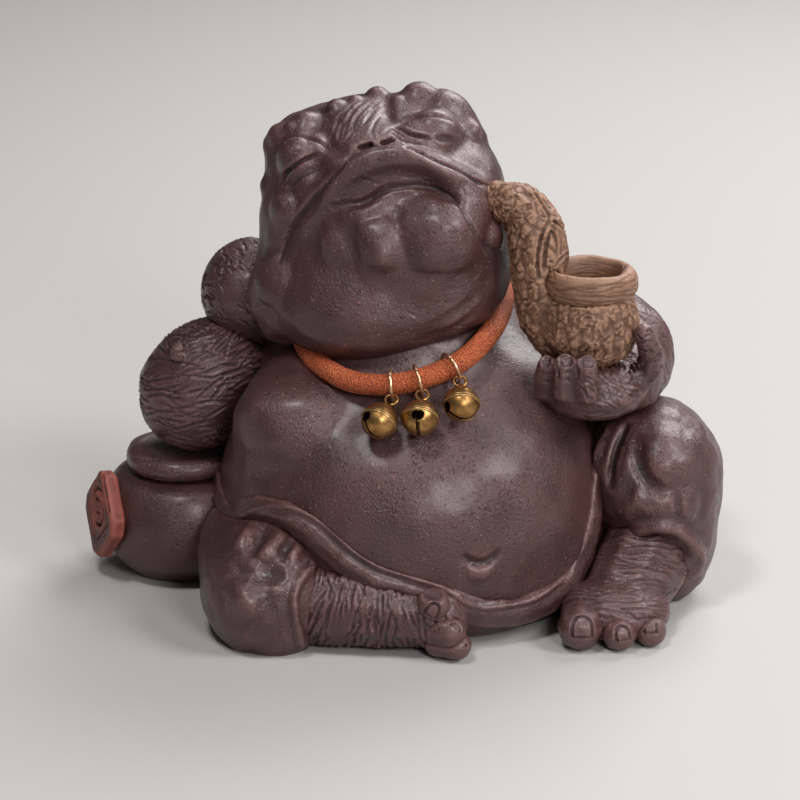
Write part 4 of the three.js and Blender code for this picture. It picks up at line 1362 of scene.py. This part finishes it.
def makeBell(number):
    name = f"bell_{number}"
    radius, inside = bell["radius"], bell["radius"] - bell["wall"]
    top = radius * math.sin(math.radians(80)) + bell["seam"]  # of the crown
    cap = turned(f"{name}_cap", [*roundArc(inside, 0, bell["crown"], 16),
                                 *roundArc(radius, bell["crown"], 7, 22), *flangeProfile(0, 1)], bell["steps"])
    cup = turned(f"{name}_cup", [*roundArc(radius, -90, -8, 26), *flangeProfile(-bell["seam"], -1),
                                 *roundArc(inside, -3, -90, 20)], bell["steps"])
    cutSlot(cup)
    edgeRound(cup, 0.07)
    loop = makeEye(name, top, inside)
    pea = makePea(name, inside)

    # a painted highlight on the flange's edge
    def flangeHighlight(spot):
        return 0.2 if math.hypot(spot.x, spot.y) > radius + 0.05 else 0

    swing = joints[f"{name}_swing"]
    pivot, side = Vector(swing["pos_m"]), Vector(swing["axis"]).normalized()
    up = Vector(joints[f"pea_{number}_rattle"]["axis"]).normalized()
    turnedIn = Matrix.Rotation(math.radians(bell["turns"][number - 1]), 4, "Z")
    stand = Matrix((side.cross(up), side, up)).transposed().to_4x4()
    stand.translation = pivot - up * bell["below"] * mm
    # painted shade inside the bell and beside the seam, painted highlight on the flange
    markPaintedLight(cap, lambda p: 0.5 + 0.25 * min(p.z - 0.35, 0) + flangeHighlight(p)
             - (0.35 if p.length < inside + 0.1 else 0))
    markPaintedLight(cup, lambda p: 0.5 + flangeHighlight(p) - (0.35 if p.length < radius - 0.12 else 0))
    # painted shade on the rivet and the foot of the loop
    markPaintedLight(loop, lambda p: 0.3 if p.z < top + 0.5 else 0.55)
    # the pea inside the bell is painted dark as shade
    markPaintedLight(pea, lambda p: 0.1)
    for part, turn, body in ((cap, turnedIn, name), (cup, turnedIn, name), (loop, Matrix.Identity(4), name),
                             (pea, turnedIn, f"pea_{number}")):
        part.data.transform(stand @ turn)
        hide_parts(part.name.split(".")[0])
        finishPiece(part, body, "aged_brass")
    makeJumpRing(number, pivot, side)


def edgeRound(piece, width):
    bevel = piece.modifiers.new("Edge", "BEVEL")
    bevel.width = width * mm
    bevel.segments = 2
    bevel.limit_method = "ANGLE"
    bevel.angle_limit = math.radians(50)
    applyAll(piece)


def makeJumpRing(number, pivot, side):
    hang = joints[f"ring_{number}_lift"]
    top = Vector(hang["pos_m"])
    up = (top - pivot).normalized()
    section = roundSection(bell["ringWire"], 18, (bell["ringRadius"], 0))
    ring = turned(f"jump_ring_{number}", section, 88, 360 - bell["ringGap"])
    pick(ring)
    bpy.ops.object.mode_set(mode="EDIT")
    bpy.ops.mesh.select_all(action="DESELECT")
    bpy.ops.mesh.select_non_manifold()
    bpy.ops.mesh.edge_face_add()
    bpy.ops.mesh.select_all(action="SELECT")
    bpy.ops.mesh.normals_make_consistent(inside=False)
    bpy.ops.object.mode_set(mode="OBJECT")
    ring.select_set(False)
    # the ring's own axis lies along the cord, and its gap faces away from the neck
    stand = Matrix((-side, up, side.cross(up) * -1)).transposed().to_4x4()
    stand.translation = pivot + up * bell["ringRadius"] * mm
    ring.data.transform(stand)
    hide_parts(f"jump_ring_{number}")
    finishPiece(ring, f"ring_{number}", "polished_brass")


makeCord()
for number in (1, 2, 3):
    makeBell(number)
print("collar modelled")

# Floor and light

studio = {
    "floor": (0.46, 0.445, 0.43, 1),
    "backdrop": (0.07, 0.068, 0.07, 1),
    "aim": (0, 0, 0.045),
    "lamps": {  # place, width, height, power
        "window": ((0.28, 0.4, 0.52), 0.46, 0.34, 4.8),
        "side": ((0.46, -0.26, 0.46), 0.22, 0.22, 2.5),
        "front": ((0.24, -0.66, 0.4), 0.2, 0.2, 2.3),
        "top": ((-0.14, -0.24, 0.62), 0.12, 0.12, 1.7),
    },
}


def makeStudio():
    bpy.ops.mesh.primitive_plane_add(size=6, location=(0, 0, 0))
    floor = bpy.context.object
    floor.name = "floor"
    paper = Finish("floorPaper", Roughness=0.9, Base_Color=studio["floor"])
    floor.data.materials.append(paper.material)
    floor.select_set(False)
    for name, (place, width, height, power) in studio["lamps"].items():
        bpy.ops.object.light_add(type="AREA", location=place)
        light = bpy.context.object
        light.name = name
        light.rotation_euler = (Vector(studio["aim"]) - Vector(place)).to_track_quat("-Z", "Y").to_euler()
        light.data.shape = "RECTANGLE"
        light.data.size = width
        light.data.size_y = height
        light.data.energy = power
        light.select_set(False)
    world = bpy.data.worlds.new("studio")
    bpy.context.scene.world = world
    world.use_nodes = True
    world.node_tree.nodes["Background"].inputs["Color"].default_value = studio["backdrop"]
    bpy.context.scene.view_settings.view_transform = "Standard"


makeStudio()
print("studio lit")
